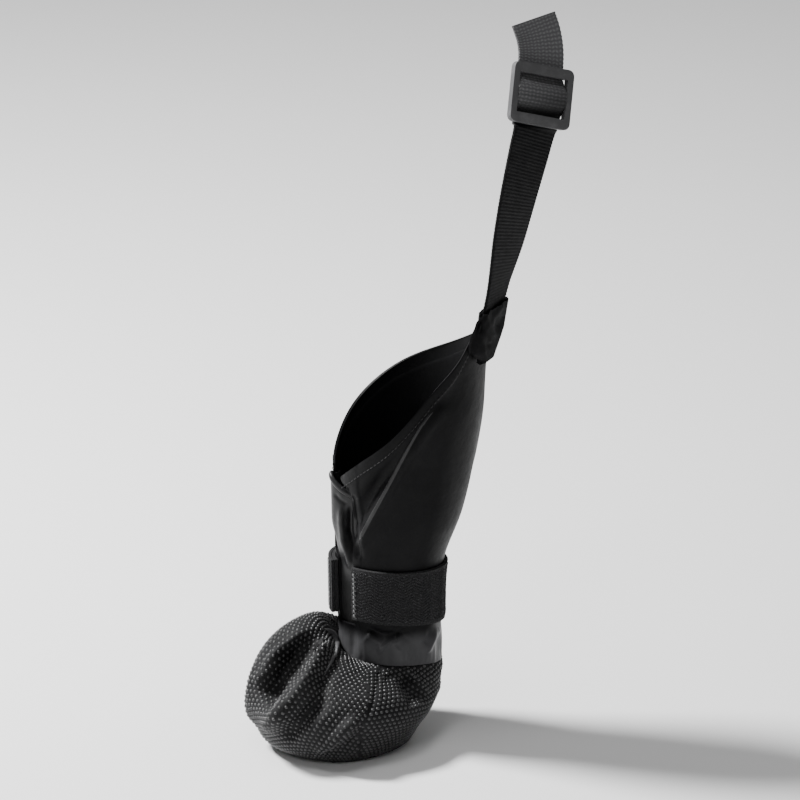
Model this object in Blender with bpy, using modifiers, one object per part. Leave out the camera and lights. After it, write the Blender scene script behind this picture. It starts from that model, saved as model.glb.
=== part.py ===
"""A dog's winter boot: a cupped sole and a gathered foot pouch of non-slip fabric, a slit gaiter shaft
with an ankle strap, and a suspender webbing with its slide buckle.

Lengths are millimetres and angles degrees. +X is the toe, +Y the dog's left, +Z up, and the origin lies on
the floor under the middle of the foot. Angles round the boot start at the toe and turn towards the left.
"""

from math import cos, exp, hypot, pi, radians, sin

import bmesh
import bpy
from mathutils import Matrix, Vector

MM = 0.001

# Driving sizes of the foot
FOOT_LENGTH = 90.0
FOOT_WIDTH = 80.0
SOLE_RIM_HEIGHT = 8.0
PUFF_HEIGHT = 60.0
SOLE_WALL = 2.2
INSOLE_WALL = 2.0
POUCH_WALL = 1.6
TOE_SPRING = 2.5
ARCH_RISE = 0.8

# Driving sizes of the leg part
ANKLE_SETBACK = 25.5
ANKLE_RADIUS = 24.3
SEAM_HEIGHT = 40.0
SHAFT_WALL = 1.2
RIM_LOW = 131.0
PEAK_HEIGHT = 214.0
HEM_WIDTH = 7.5
HEM_STEP = 0.5
FLARE_ANGLE = 145.4
SLIT_LATERAL = 11.0
SLIT_MEDIAL = -17.0
FLAP_CORNER = 16.0
GUSSET_WALL = 1.0
GUSSET_FOLD = 6.5
GUSSET_LAP = 6.0

# Driving sizes of the strap, the webbing and the buckle
STRAP_LOW = 58.0
STRAP_WIDTH = 28.0
STRAP_TILT = 3.6
STRAP_WALL = 1.6
STRAP_END_WALL = 1.4
STRAP_END_LENGTH = 38.0
PEAK_ANGLE = 125.0
WEBBING_WIDTH = 25.0
WEBBING_WALL = 1.5
TAB_WALL = 1.0
TAB_LENGTH = 23.0
TAB_RISE = 3.0
TAB_MARGIN = 1.5
TAB_FOOT_WIDTH = 11.0
WEBBING_SEAT = 0.40
BUCKLE_LENGTH = 28.0
BUCKLE_RAIL = 3.2
BUCKLE_WALL = 3.0
BUCKLE_BAR = 4.5
BUCKLE_END_BAR = 4.75
BUCKLE_CORNER = 3.0
BUCKLE_LIFT = 2.0
WINDOW_PLAY = 1.5
BEND_PLAY = 0.55
TAIL_LENGTH = 22.0

GAP = 0.35

# How far folds take to rise above the strap and to die away under the hem
FOLD_START = 9.0
FOLD_END = 12.0

# How finely the round pieces are divided
FOOT_COLUMNS = 56
OPEN_COLUMNS = 40
SLIT_COLUMNS = 3
SLIT_FOOT_ROW = 3
STRAP_TILT_ANGLE = 17.0

# The fold tables are placed as seen from the boot's front left quarter, across and up that view.
VIEW_AZIMUTH = 55.4
VIEW_ELEVATION = 19.4

# Sections of the foot, from the floor up. Reaches and the half width are shares of FOOT_LENGTH and
# FOOT_WIDTH, heights are shares of PUFF_HEIGHT at four places round the foot.
FOOT_SECTIONS = (
    dict(front=0.405, rear=0.330, half=0.365, toe=0.000, left=0.000, heel=0.000, right=0.000),
    dict(front=0.492, rear=0.380, half=0.436, toe=0.133, left=0.133, heel=0.133, right=0.133),
    dict(front=0.544, rear=0.450, half=0.500, toe=0.383, left=0.330, heel=0.265, right=0.320),
    dict(front=0.522, rear=0.494, half=0.506, toe=0.600, left=0.460, heel=0.365, right=0.430),
    dict(front=0.433, rear=0.511, half=0.462, toe=0.805, left=0.570, heel=0.430, right=0.515),
    dict(front=0.289, rear=0.528, half=0.406, toe=0.935, left=0.625, heel=0.485, right=0.575),
    dict(front=0.133, rear=0.544, half=0.350, toe=0.960, left=0.650, heel=0.530, right=0.615),
)
FOOT_ANGLES = (("toe", -35.0), ("left", 50.0), ("heel", 150.0), ("right", 235.0))

# Height of the ankle seam round the leg, as a share of SEAM_HEIGHT.
SEAM_HEIGHTS = (
    dict(angle=-75.0, share=1.10),
    dict(angle=-35.0, share=1.14),
    dict(angle=-15.0, share=1.03),
    dict(angle=20.0, share=1.01),
    dict(angle=90.0, share=0.95),
    dict(angle=145.0, share=0.86),
    dict(angle=200.0, share=0.90),
    dict(angle=245.0, share=1.00),
)

# Height of the rim between its low front and its peak, as a share of that rise.
RIM_HEIGHTS = (
    dict(angle=-17.0, share=0.00),
    dict(angle=-6.0, share=0.00),
    dict(angle=30.0, share=0.16),
    dict(angle=52.0, share=0.28),
    dict(angle=68.0, share=0.41),
    dict(angle=86.0, share=0.59),
    dict(angle=103.0, share=0.74),
    dict(angle=114.0, share=0.90),
    dict(angle=125.0, share=1.00),
    dict(angle=137.0, share=0.93),
    dict(angle=160.0, share=0.79),
    dict(angle=190.0, share=0.64),
    dict(angle=230.0, share=0.49),
    dict(angle=270.0, share=0.31),
    dict(angle=310.0, share=0.11),
)

# Reaches of the shaft from the leg's axis, as shares of ANKLE_RADIUS: along the flare, against it and
# across it. Heights are shares of PEAK_HEIGHT.
SHAFT_SECTIONS = (
    dict(height=0.15, flare=0.98, front=1.03, across=0.99),
    dict(height=0.26, flare=0.96, front=1.07, across=0.98),
    dict(height=0.40, flare=1.02, front=1.09, across=1.02),
    dict(height=0.52, flare=1.38, front=1.11, across=1.13),
    dict(height=0.63, flare=1.57, front=1.13, across=1.25),
    dict(height=0.74, flare=1.71, front=1.17, across=1.36),
    dict(height=0.86, flare=1.78, front=1.22, across=1.46),
    dict(height=0.96, flare=1.92, front=1.26, across=1.55),
    dict(height=1.05, flare=2.04, front=1.30, across=1.60),
)

# Folds of the foot in view, ends and half width as shares of FOOT_LENGTH, depth outwards positive.
FOOT_FOLDS = (
    dict(x1=-0.150, y1=0.530, x2=-0.470, y2=0.200, half=0.075, depth=-6.2),
    dict(x1=-0.110, y1=0.510, x2=-0.400, y2=0.080, half=0.045, depth=3.8),
    dict(x1=-0.140, y1=0.210, x2=-0.310, y2=0.020, half=0.045, depth=-2.2),
    dict(x1=0.050, y1=0.110, x2=-0.180, y2=-0.100, half=0.045, depth=1.6),
    dict(x1=0.250, y1=0.340, x2=0.400, y2=0.250, half=0.060, depth=-3.2),
)

# Creases of the shaft in view, ends and half width as shares of PEAK_HEIGHT, depth outwards positive.
SHAFT_FOLDS = (
    dict(x1=0.190, y1=0.725, x2=0.030, y2=0.440, half=0.014, depth=2.0),
    dict(x1=0.165, y1=0.735, x2=0.005, y2=0.450, half=0.022, depth=-2.2),
    dict(x1=0.210, y1=0.690, x2=0.170, y2=0.480, half=0.040, depth=0.9),
)

# Gathers of the ankle band, each centred on an angle.
BAND_GATHERS = (
    dict(angle=8.0, width=8.0, depth=-1.2),
    dict(angle=25.0, width=10.0, depth=1.4),
    dict(angle=44.0, width=9.0, depth=-1.2),
    dict(angle=62.0, width=10.0, depth=1.1),
    dict(angle=82.0, width=9.0, depth=-1.3),
    dict(angle=104.0, width=11.0, depth=1.2),
    dict(angle=128.0, width=10.0, depth=-1.1),
    dict(angle=165.0, width=13.0, depth=1.3),
    dict(angle=195.0, width=11.0, depth=-1.3),
    dict(angle=222.0, width=12.0, depth=1.2),
    dict(angle=252.0, width=11.0, depth=-1.3),
    dict(angle=283.0, width=12.0, depth=1.2),
    dict(angle=318.0, width=11.0, depth=-1.1),
)

# The gusset's columns, from the slit's right edge to its left one: how deep each is folded in.
GUSSET_COLUMNS = (
    dict(share=0.00, fold=0.00),
    dict(share=0.14, fold=0.00),
    dict(share=0.30, fold=0.10),
    dict(share=0.45, fold=0.45),
    dict(share=0.60, fold=1.00),
    dict(share=0.72, fold=0.55),
    dict(share=0.86, fold=0.06),
    dict(share=1.00, fold=0.08),
)

# The webbing's middle line above the tab: steps from the tab's top as shares of PEAK_HEIGHT, and the way
# it faces.
WEBBING_ROUTE = (
    dict(back=0.000, left=0.000, rise=0.000, facing=119.0),
    dict(back=0.020, left=0.008, rise=0.098, facing=112.0),
    dict(back=0.060, left=0.004, rise=0.238, facing=101.0),
    dict(back=0.112, left=-0.012, rise=0.371, facing=91.0),
)
BUCKLE_FACING = 84.0
BUCKLE_UP = (-0.34, -0.30, 1.0)
TAIL_UP = (-0.05, -0.36, 1.0)

# Each material: base colour, roughness, metallic.
NON_SLIP = ((0.030, 0.030, 0.031, 1.0), 0.42, 0.0)
SOFTSHELL = ((0.012, 0.012, 0.013, 1.0), 0.48, 0.0)
LOOP_TAPE = ((0.028, 0.028, 0.029, 1.0), 0.85, 0.0)
WEBBING = ((0.016, 0.016, 0.017, 1.0), 0.60, 0.0)
PLASTIC = ((0.022, 0.022, 0.023, 1.0), 0.35, 0.0)
LINING = ((0.020, 0.020, 0.021, 1.0), 0.90, 0.0)


def clear_scene():
    for obj in list(bpy.data.objects):
        bpy.data.objects.remove(obj, do_unlink=True)


def new_collection(name):
    collection = bpy.data.collections.new(name)
    bpy.context.scene.collection.children.link(collection)
    return collection


def material(name, finish):
    colour, roughness, metallic = finish
    made = bpy.data.materials.new(name)
    made.use_nodes = True
    shader = made.node_tree.nodes["Principled BSDF"]
    shader.inputs["Base Color"].default_value = colour
    shader.inputs["Roughness"].default_value = roughness
    shader.inputs["Metallic"].default_value = metallic
    return made


def smoothstep(value):
    value = min(max(value, 0.0), 1.0)
    return value * value * (3.0 - 2.0 * value)


def along(rows, key, column, value):
    """A column of a table at a value of its key column, on a smooth curve through the rows."""
    keys = [row[key] for row in rows]
    if value <= keys[0]:
        return rows[0][column]
    if value >= keys[-1]:
        return rows[-1][column]
    i = max(k for k in range(len(rows) - 1) if keys[k] <= value)
    step = keys[i + 1] - keys[i]

    def slope(k):
        low, high = max(k - 1, 0), min(k + 1, len(rows) - 1)
        return (rows[high][column] - rows[low][column]) / (keys[high] - keys[low])

    t = (value - keys[i]) / step
    a, b = rows[i][column], rows[i + 1][column]
    return (
        a * (1 + 2 * t) * (1 - t) ** 2
        + b * t * t * (3 - 2 * t)
        + step * slope(i) * t * (1 - t) ** 2
        - step * slope(i + 1) * t * t * (1 - t)
    )


def around(rows, column, angle):
    """A column of a table that is closed round the boot, at an angle."""
    first = rows[0]["angle"]
    turned = first + (angle - first) % 360.0
    wrapped = [dict(row, angle=row["angle"] - 360.0) for row in rows[-2:]]
    wrapped += list(rows)
    wrapped += [dict(row, angle=row["angle"] + 360.0) for row in rows[:2]]
    return along(wrapped, "angle", column, turned)


def view_place(point):
    """How far across and up the view a point lies."""
    a, e = radians(VIEW_AZIMUTH), radians(VIEW_ELEVATION)
    across = -point.x * sin(a) + point.y * cos(a)
    up = -(point.x * cos(a) + point.y * sin(a)) * sin(e) + point.z * cos(e)
    return across, up


def fold_push(point, facing, folds, size):
    """The push of a table of folds at a point, outwards positive, fading where the surface turns away."""
    a = radians(VIEW_AZIMUTH)
    toward = facing.x * cos(a) + facing.y * sin(a)
    across, up = view_place(point)
    push = 0.0
    for fold in folds:
        x1, y1, x2, y2 = (size * fold[k] for k in ("x1", "y1", "x2", "y2"))
        length = hypot(x2 - x1, y2 - y1)
        t = ((across - x1) * (x2 - x1) + (up - y1) * (y2 - y1)) / length**2
        t = min(max(t, 0.0), 1.0)
        off = hypot(across - x1 - t * (x2 - x1), up - y1 - t * (y2 - y1))
        push += fold["depth"] * exp(-((off / (size * fold["half"])) ** 2))
    return push * smoothstep((toward + 0.15) / 0.5)


def foot_height(section, angle):
    rows = [dict(angle=a, share=section[place]) for place, a in FOOT_ANGLES]
    return PUFF_HEIGHT * around(rows, "share", angle)


def seam_height(angle):
    return SEAM_HEIGHT * around(SEAM_HEIGHTS, "share", angle)


def leg_point(angle, radius, height):
    a = radians(angle)
    return Vector((radius * cos(a) - ANKLE_SETBACK, radius * sin(a), height))


def shaft_radius(angle, height):
    """The shaft's outside from the leg's axis, before its folds."""
    share = height / PEAK_HEIGHT
    flare, front, across = (
        ANKLE_RADIUS * along(SHAFT_SECTIONS, "height", column, share)
        for column in ("flare", "front", "across")
    )
    middle, long = (flare - front) / 2, (flare + front) / 2
    turn = radians(angle - FLARE_ANGLE)
    u, v = cos(turn), sin(turn)
    a = (u / long) ** 2 + (v / across) ** 2
    b = -2 * middle * u / long**2
    c = (middle / long) ** 2 - 1
    return (-b + (b * b - 4 * a * c) ** 0.5) / (2 * a)


def foot_section_point(k, angle):
    """A point of the foot's outside on section k. The last one is the ankle seam, on the shaft's outline."""
    if k == len(FOOT_SECTIONS):
        height = seam_height(angle)
        return leg_point(angle, shaft_radius(angle, height), height)
    section = FOOT_SECTIONS[k]
    front, rear = FOOT_LENGTH * section["front"], FOOT_LENGTH * section["rear"]
    half = FOOT_WIDTH * section["half"]
    a = radians(angle)
    x = (front - rear) / 2 + (front + rear) / 2 * cos(a)
    return Vector((x, half * sin(a), foot_height(section, angle)))


def foot_point(place, angle):
    """The foot's outside at a place counted in sections, 0 at the floor's edge, with its folds."""
    last = len(FOOT_SECTIONS)
    k = min(int(place), last - 1)
    t = place - k
    p = [foot_section_point(min(max(i, 0), last), angle) for i in (k - 1, k, k + 1, k + 2)]
    m1, m2 = (p[2] - p[0]) / 2, (p[3] - p[1]) / 2
    point = (
        p[1] * ((1 + 2 * t) * (1 - t) ** 2)
        + p[2] * (t * t * (3 - 2 * t))
        + m1 * (t * (1 - t) ** 2)
        - m2 * (t * t * (1 - t))
    )
    core = Vector((-0.05 * FOOT_LENGTH, 0.0, 0.4 * PUFF_HEIGHT))
    facing = (point - core).normalized()
    calm = smoothstep((place - 1.0) / 1.0) * smoothstep((last - place) / 0.9)
    return point + facing * (calm * fold_push(point, facing, FOOT_FOLDS, FOOT_LENGTH))


def strap_low(angle):
    return STRAP_LOW + STRAP_TILT * cos(radians(angle - STRAP_TILT_ANGLE))


def strap_high(angle):
    return STRAP_LOW + STRAP_WIDTH + 0.5 * STRAP_TILT * cos(radians(angle - STRAP_TILT_ANGLE))


def rim_height(angle):
    return RIM_LOW + (PEAK_HEIGHT - RIM_LOW) * around(RIM_HEIGHTS, "share", angle)


def band_push(angle, height):
    """The gathers between the ankle seam and the strap."""
    low, high = seam_height(angle), strap_low(angle)
    t = (height - low) / (high - low)
    if not 0.0 < t < 1.0:
        return 0.0
    push = 0.0
    for gather in BAND_GATHERS:
        off = (angle - gather["angle"] + 180.0) % 360.0 - 180.0
        push += gather["depth"] * exp(-((off / gather["width"]) ** 2))
    return push * sin(pi * t)


def shaft_point(angle, height, out=0.0):
    """The shaft's outside with its folds, moved outwards by a distance."""
    radius = shaft_radius(angle, height)
    a = radians(angle)
    facing = Vector((cos(a), sin(a), 0.0))
    point = leg_point(angle, radius, height)
    above = height - strap_high(angle)
    below = rim_height(angle) - HEM_WIDTH - height
    calm = smoothstep(above / FOLD_START) * smoothstep(below / FOLD_END)
    push = calm * fold_push(point, facing, SHAFT_FOLDS, PEAK_HEIGHT) + band_push(angle, height)
    return point + facing * (push + out)


def sheet_object(name, collection, finish, rows, wall, offset, closed=False):
    """A grid of points made a wall with Solidify. Rows run up, columns run left round the boot."""
    mesh = bpy.data.meshes.new(name)
    form = bmesh.new()
    grid = [[form.verts.new(point * MM) if point else None for point in row] for row in rows]
    wide = len(rows[0])
    for low, high in zip(grid, grid[1:]):
        for j in range(wide if closed else wide - 1):
            corners = [low[j], low[(j + 1) % wide], high[(j + 1) % wide], high[j]]
            if all(corners):
                form.faces.new(corners)
    loose = [vert for vert in form.verts if not vert.link_faces]
    bmesh.ops.delete(form, geom=loose, context="VERTS")
    form.to_mesh(mesh)
    form.free()
    return walled(name, collection, finish, mesh, wall, offset)


def walled(name, collection, finish, mesh, wall, offset):
    obj = bpy.data.objects.new(name, mesh)
    collection.objects.link(obj)
    mesh.materials.append(material(name, finish))
    mesh.shade_smooth()
    solid = obj.modifiers.new("wall", "SOLIDIFY")
    solid.thickness = wall * MM
    solid.offset = offset
    return obj


def sole_point(share, angle):
    """The underside of the sole: share 1 is the floor's edge and share 2 its rim."""
    if share > 1.0:
        edge = foot_point(share - 1.0, angle)
        return Vector((edge.x, edge.y, edge.z + sole_rise(angle) * (2.0 - share) ** 2))
    edge = foot_section_point(0, angle)
    middle = foot_section_point(0, 90.0).x
    return Vector((
        middle + (edge.x - middle) * share,
        edge.y * share,
        sole_rise(angle) * smooth_edge(share),
    ))


def sole_rise(angle):
    """The toe spring in front and the arch at the inner and outer waist."""
    toe = smoothstep((cos(radians(angle)) - 0.55) / 0.45)
    waist = exp(-(((abs(angle % 360.0 - 180.0) - 80.0) / 22.0) ** 2))
    return TOE_SPRING * toe + ARCH_RISE * waist


def smooth_edge(share):
    """Straight from nothing at the flat's edge to all of it at the floor's edge, as the sole's facets run."""
    flat = 0.72
    return max(share - flat, 0.0) / (1.0 - flat)


def dished(name, collection, finish, rings, wall, lift):
    """A round sheet from its middle outwards, lifted, with its wall above the sheet."""
    mesh = bpy.data.meshes.new(name)
    form = bmesh.new()
    angles = [360.0 * j / FOOT_COLUMNS for j in range(FOOT_COLUMNS)]
    middle = form.verts.new((sole_point(0.0, 0.0) + Vector((0, 0, lift))) * MM)
    grid = [[form.verts.new((sole_point(s, a) + Vector((0, 0, lift))) * MM) for a in angles] for s in rings]
    for j in range(FOOT_COLUMNS):
        k = (j + 1) % FOOT_COLUMNS
        form.faces.new((middle, grid[0][k], grid[0][j]))
        for inner, outer in zip(grid, grid[1:]):
            form.faces.new((inner[j], inner[k], outer[k], outer[j]))
    form.to_mesh(mesh)
    form.free()
    return walled(name, collection, finish, mesh, wall, -1.0)


def make_sole(collection):
    return dished("sole", collection, NON_SLIP, (0.36, 0.72, 1.0, 1.35, 1.68, 1.92, 2.0), SOLE_WALL, 0.0)


def make_insole(collection):
    return dished("insole", collection, LINING, (0.36, 0.72, 0.93), INSOLE_WALL, SOLE_WALL + GAP)


def make_foot_pouch(collection):
    last = len(FOOT_SECTIONS)
    seam = 1.0 + GAP / (2 * SOLE_RIM_HEIGHT)
    places = [seam, seam + 0.08] + [1.45 + 0.39 * i for i in range(14)] + [last]
    angles = [360.0 * j / FOOT_COLUMNS for j in range(FOOT_COLUMNS)]
    rows = [[foot_point(place, angle) for angle in angles] for place in places]
    return sheet_object("foot_pouch", collection, NON_SLIP, rows, POUCH_WALL, -1.0, closed=True)


def slit_edge(height, low_edge):
    """The slit's edge. The left flap's upper corner swings over the slit."""
    if low_edge == SLIT_MEDIAL:
        return low_edge
    rim = rim_height(low_edge)
    return low_edge - FLAP_CORNER * smoothstep((height - rim + FOLD_END) / FOLD_END)


def leg_angles(height):
    """The shaft's open columns, from the slit's left edge round to its right edge."""
    left, right = slit_edge(height, SLIT_LATERAL), SLIT_MEDIAL + 360.0
    return [left + (right - left) * j / OPEN_COLUMNS for j in range(OPEN_COLUMNS + 1)]


def shaft_levels(angle):
    """The heights of the shaft's rows at an angle, with how far each stands out, up to the rim."""
    seam, low, high, rim = seam_height(angle), strap_low(angle), strap_high(angle), rim_height(angle)
    hem = rim - HEM_WIDTH
    levels = [(seam + GAP + (low - seam - GAP) * t, 0.0) for t in (0.0, 0.25, 0.5, 0.78)]
    levels += [(low + (high - low) * t, 0.0) for t in (0.0, 0.5, 1.0)]
    levels += [(high + (hem - high) * t, 0.0) for t in (0.1, 0.22, 0.36, 0.5, 0.64, 0.76, 0.88, 1.0)]
    levels += [(rim - t * HEM_WIDTH, HEM_STEP) for t in (0.95, 0.5, 0.0)]
    return levels


def make_shaft(collection):
    count = len(shaft_levels(0.0))
    rows = []
    for i in range(count):
        row = []
        base = leg_angles(0.0)
        for j, angle in enumerate(base):
            height, out = shaft_levels(angle)[i]
            if i > SLIT_FOOT_ROW:
                angle = leg_angles(height)[j] if j < OPEN_COLUMNS / 4 else angle
                height, out = shaft_levels(angle)[i]
            row.append(shaft_point(angle, height, out))
        for j in range(1, SLIT_COLUMNS):
            angle = SLIT_MEDIAL + (SLIT_LATERAL - SLIT_MEDIAL) * j / SLIT_COLUMNS
            height, out = shaft_levels(angle)[i]
            row.append(shaft_point(angle, height, out) if i <= SLIT_FOOT_ROW else None)
        rows.append(row)
    return ring_with_slit("shaft", collection, SOFTSHELL, rows)


def ring_with_slit(name, collection, finish, rows):
    """Rows of the whole ring below the slit's foot and of the open ring above it, as one wall."""
    mesh = bpy.data.meshes.new(name)
    form = bmesh.new()
    grid = [[form.verts.new(point * MM) if point else None for point in row] for row in rows]
    wide = len(rows[0])
    for i, (low, high) in enumerate(zip(grid, grid[1:])):
        for j in range(wide):
            k = (j + 1) % wide
            corners = [low[j], low[k], high[k], high[j]]
            in_slit = j >= OPEN_COLUMNS
            if all(corners) and not (in_slit and i >= SLIT_FOOT_ROW):
                form.faces.new(corners)
    form.to_mesh(mesh)
    form.free()
    return walled(name, collection, finish, mesh, SHAFT_WALL, -1.0)


def strap_rows(out, first, last):
    """The strap's own rows on the shaft's columns, at a distance outside the shaft."""
    angles = leg_angles(0.0)[first : last + 1]
    rows = []
    for t in (0.0, 0.5, 1.0):
        row = []
        for angle in angles:
            low, high = strap_low(angle), strap_high(angle)
            row.append(shaft_point(angle, low + (high - low) * t, out))
        rows.append(row)
    return rows


def make_ankle_strap(collection):
    rows = strap_rows(GAP, 0, OPEN_COLUMNS)
    return sheet_object("ankle_strap", collection, LOOP_TAPE, rows, STRAP_WALL, 1.0)


def make_strap_end(collection):
    reach = radians(360.0 + SLIT_MEDIAL - SLIT_LATERAL) * ANKLE_RADIUS / OPEN_COLUMNS
    columns = round(STRAP_END_LENGTH / reach)
    rows = strap_rows(2 * GAP + STRAP_WALL, OPEN_COLUMNS - 1 - columns, OPEN_COLUMNS)
    return sheet_object("strap_end", collection, LOOP_TAPE, rows, STRAP_END_WALL, 1.0)


def make_throat_gusset(collection):
    """A folded strip behind the slit, against the shaft's inside at both edges."""
    left, right = SLIT_LATERAL + GUSSET_LAP, SLIT_MEDIAL - GUSSET_LAP
    foot = strap_low(0.0) - SHAFT_WALL - 2 * GAP
    top = RIM_LOW - HEM_WIDTH
    inside = SHAFT_WALL + 2 * GAP
    rows = []
    for t in (0.0, 0.15, 0.33, 0.5, 0.67, 0.84, 1.0):
        height = foot + (top - foot) * t
        row = []
        for column in GUSSET_COLUMNS:
            angle = right + (left - right) * column["share"]
            row.append(shaft_point(angle, height, -inside - column["fold"] * GUSSET_FOLD))
        rows.append(row)
    return sheet_object("throat_gusset", collection, SOFTSHELL, rows, GUSSET_WALL, -1.0)


def way(azimuth):
    a = radians(azimuth)
    return Vector((cos(a), sin(a), 0.0))


def tab_frame():
    """The tab's foot and top on the webbing's middle line, outside the shaft's peak, and the way it faces."""
    clear = 2 * GAP + TAB_WALL + WEBBING_WALL / 2
    ends = []
    for height in (PEAK_HEIGHT - TAB_LENGTH, PEAK_HEIGHT + TAB_RISE):
        here = leg_point(PEAK_ANGLE, shaft_radius(PEAK_ANGLE, height) + HEM_STEP, height)
        ahead = leg_point(PEAK_ANGLE + 4.0, shaft_radius(PEAK_ANGLE + 4.0, height) + HEM_STEP, height)
        edge = (ahead - here).normalized()
        outward = Vector((edge.y, -edge.x, 0.0))
        ends.append(here + outward * clear)
    foot, top = ends
    rise = (top - foot).normalized()
    return foot, top, (outward - rise * outward.dot(rise)).normalized()


def ribbon(name, collection, finish, path, widths, wall):
    """A flat strip along a path of (middle, facing), with a width across the facing at each point."""
    rows = []
    for i, (middle, facing) in enumerate(path):
        before, after = path[max(i - 1, 0)][0], path[min(i + 1, len(path) - 1)][0]
        side = (after - before).cross(facing).normalized()
        rows.append([middle + side * (widths[i] * share) for share in (-0.5, 0.0, 0.5)])
    return sheet_object(name, collection, finish, rows, wall, 0.0)


def buckle_frame():
    """The buckle's middle, its upward way and the way it faces."""
    _, top, _ = tab_frame()
    last = WEBBING_ROUTE[-1]
    below = top + Vector((-last["back"], last["left"], last["rise"])) * PEAK_HEIGHT
    facing = way(BUCKLE_FACING)
    up = Vector(BUCKLE_UP).normalized()
    facing = (facing - up * facing.dot(up)).normalized()
    set_forward = BUCKLE_WALL / 2 + GAP + WEBBING_WALL / 2
    return below + up * (BUCKLE_LENGTH / 2 + BUCKLE_LIFT) + facing * set_forward, up, facing


def make_suspender_webbing(collection):
    foot, top, tab_facing = tab_frame()
    path = [(foot + (top - foot) * t, tab_facing) for t in (1.0 - WEBBING_SEAT, 1.0)]
    route = [dict(row, place=float(i)) for i, row in enumerate(WEBBING_ROUTE)]
    steps = 3 * (len(route) - 1)
    for i in range(1, steps + 1):
        place = i / 3
        back, left, rise, face = (along(route, "place", c, place) for c in ("back", "left", "rise", "facing"))
        turned = tab_facing.lerp(way(face), smoothstep(place / 1.5))
        path.append((top + Vector((-back, left, rise)) * PEAK_HEIGHT, turned))
    middle, up, facing = buckle_frame()
    behind = -(BUCKLE_WALL / 2 + GAP + WEBBING_WALL / 2)
    before = bar_front() + GAP + WEBBING_WALL / 2
    window = BUCKLE_LENGTH / 2 - BUCKLE_END_BAR
    bar = BUCKLE_BAR / 2 + BEND_PLAY
    edge, crown = window - BEND_PLAY, before + GAP / 2
    turns = ((-BUCKLE_LENGTH / 2, behind), (-edge, behind), (-bar, before), (0.0, crown))
    turns += ((bar, before), (edge, behind), (BUCKLE_LENGTH / 2, behind))
    path += [(middle + up * s + facing * d, facing) for s, d in turns]
    tail = Vector(TAIL_UP).normalized()
    path += [(path[-1][0] + up.lerp(tail, t) * (t * TAIL_LENGTH), facing) for t in (0.33, 0.66, 1.0)]
    return ribbon("suspender_webbing", collection, WEBBING, path, [WEBBING_WIDTH] * len(path), WEBBING_WALL)


def bar_front():
    """The middle bar is set back from the buckle's face."""
    return 0.1 * BUCKLE_WALL


def make_peak_tab(collection):
    """One strip folded under the webbing's end, its two legs on both faces of the webbing."""
    foot, top, facing = tab_frame()
    rise = top - foot
    reach = WEBBING_WALL / 2 + GAP + TAB_WALL / 2
    legs = (1.0, 1.0 - WEBBING_SEAT, 0.0)
    path = [(foot + rise * t - facing * reach, facing) for t in legs]
    for i in range(1, 6):
        a = pi * i / 6
        middle = foot - facing * (reach * cos(a)) - rise.normalized() * (reach * sin(a))
        path.append((middle, facing * cos(a) + rise.normalized() * sin(a)))
    path += [(foot + rise * t + facing * reach, -facing) for t in reversed(legs)]
    full = WEBBING_WIDTH + 2 * TAB_MARGIN
    widths = [full, full] + [TAB_FOOT_WIDTH] * (len(path) - 4) + [full, full]
    return ribbon("peak_tab", collection, SOFTSHELL, path, widths, TAB_WALL)


def box_mesh(form, size, place):
    made = bmesh.ops.create_cube(form, size=1.0)["verts"]
    bmesh.ops.scale(form, vec=size, verts=made)
    bmesh.ops.translate(form, vec=place, verts=made)


def make_slide_buckle(collection, cutters):
    """A frame with a rounded outline, one window cut through it, and a bar set back across the window."""
    middle, up, facing = buckle_frame()
    side = up.cross(facing).normalized()
    opening = WEBBING_WIDTH + WINDOW_PLAY
    width = opening + 2 * BUCKLE_RAIL
    window = BUCKLE_LENGTH - 2 * BUCKLE_END_BAR

    mesh = bpy.data.meshes.new("slide_buckle")
    form = bmesh.new()
    box_mesh(form, (width * MM, BUCKLE_LENGTH * MM, BUCKLE_WALL * MM), (0, 0, 0))
    upright = [e for e in form.edges if abs((e.verts[0].co - e.verts[1].co).z) > 0.5 * BUCKLE_WALL * MM]
    bmesh.ops.bevel(form, geom=upright, offset=BUCKLE_CORNER * MM, segments=4, profile=0.5, affect="EDGES")
    form.to_mesh(mesh)
    form.free()
    mesh.materials.append(material("slide_buckle", PLASTIC))
    buckle = bpy.data.objects.new("slide_buckle", mesh)
    collection.objects.link(buckle)

    hole = (window - BUCKLE_BAR) / 2
    reach = BUCKLE_BAR / 2 + hole / 2
    cuts = (
        ("window_low", (opening, hole, 2 * BUCKLE_WALL), (0, -reach, 0)),
        ("window_high", (opening, hole, 2 * BUCKLE_WALL), (0, reach, 0)),
        ("bar_setback", (opening, 1.01 * BUCKLE_BAR, BUCKLE_WALL), (0, 0, bar_front() + BUCKLE_WALL / 2)),
    )
    for name, size, place in cuts:
        cutter_mesh = bpy.data.meshes.new(name)
        form = bmesh.new()
        box_mesh(form, [s * MM for s in size], [p * MM for p in place])
        form.to_mesh(cutter_mesh)
        form.free()
        cutter = bpy.data.objects.new(name, cutter_mesh)
        cutter.hide_render = True
        cutter.display_type = "WIRE"
        cutters.objects.link(cutter)
        cutter.parent = buckle
        cut = buckle.modifiers.new(name, "BOOLEAN")
        cut.object = cutter
    buckle.rotation_euler = Matrix((side, up, side.cross(up))).transposed().to_euler()
    buckle.location = middle * MM
    return buckle


def main():
    clear_scene()
    boot = new_collection("dog_boot")
    cutters = new_collection("cutters")
    cutters.hide_render = True
    make_sole(boot)
    make_insole(boot)
    make_foot_pouch(boot)
    make_shaft(boot)
    make_throat_gusset(boot)
    make_ankle_strap(boot)
    make_strap_end(boot)
    make_peak_tab(boot)
    make_suspender_webbing(boot)
    make_slide_buckle(boot, cutters)


main()
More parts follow.
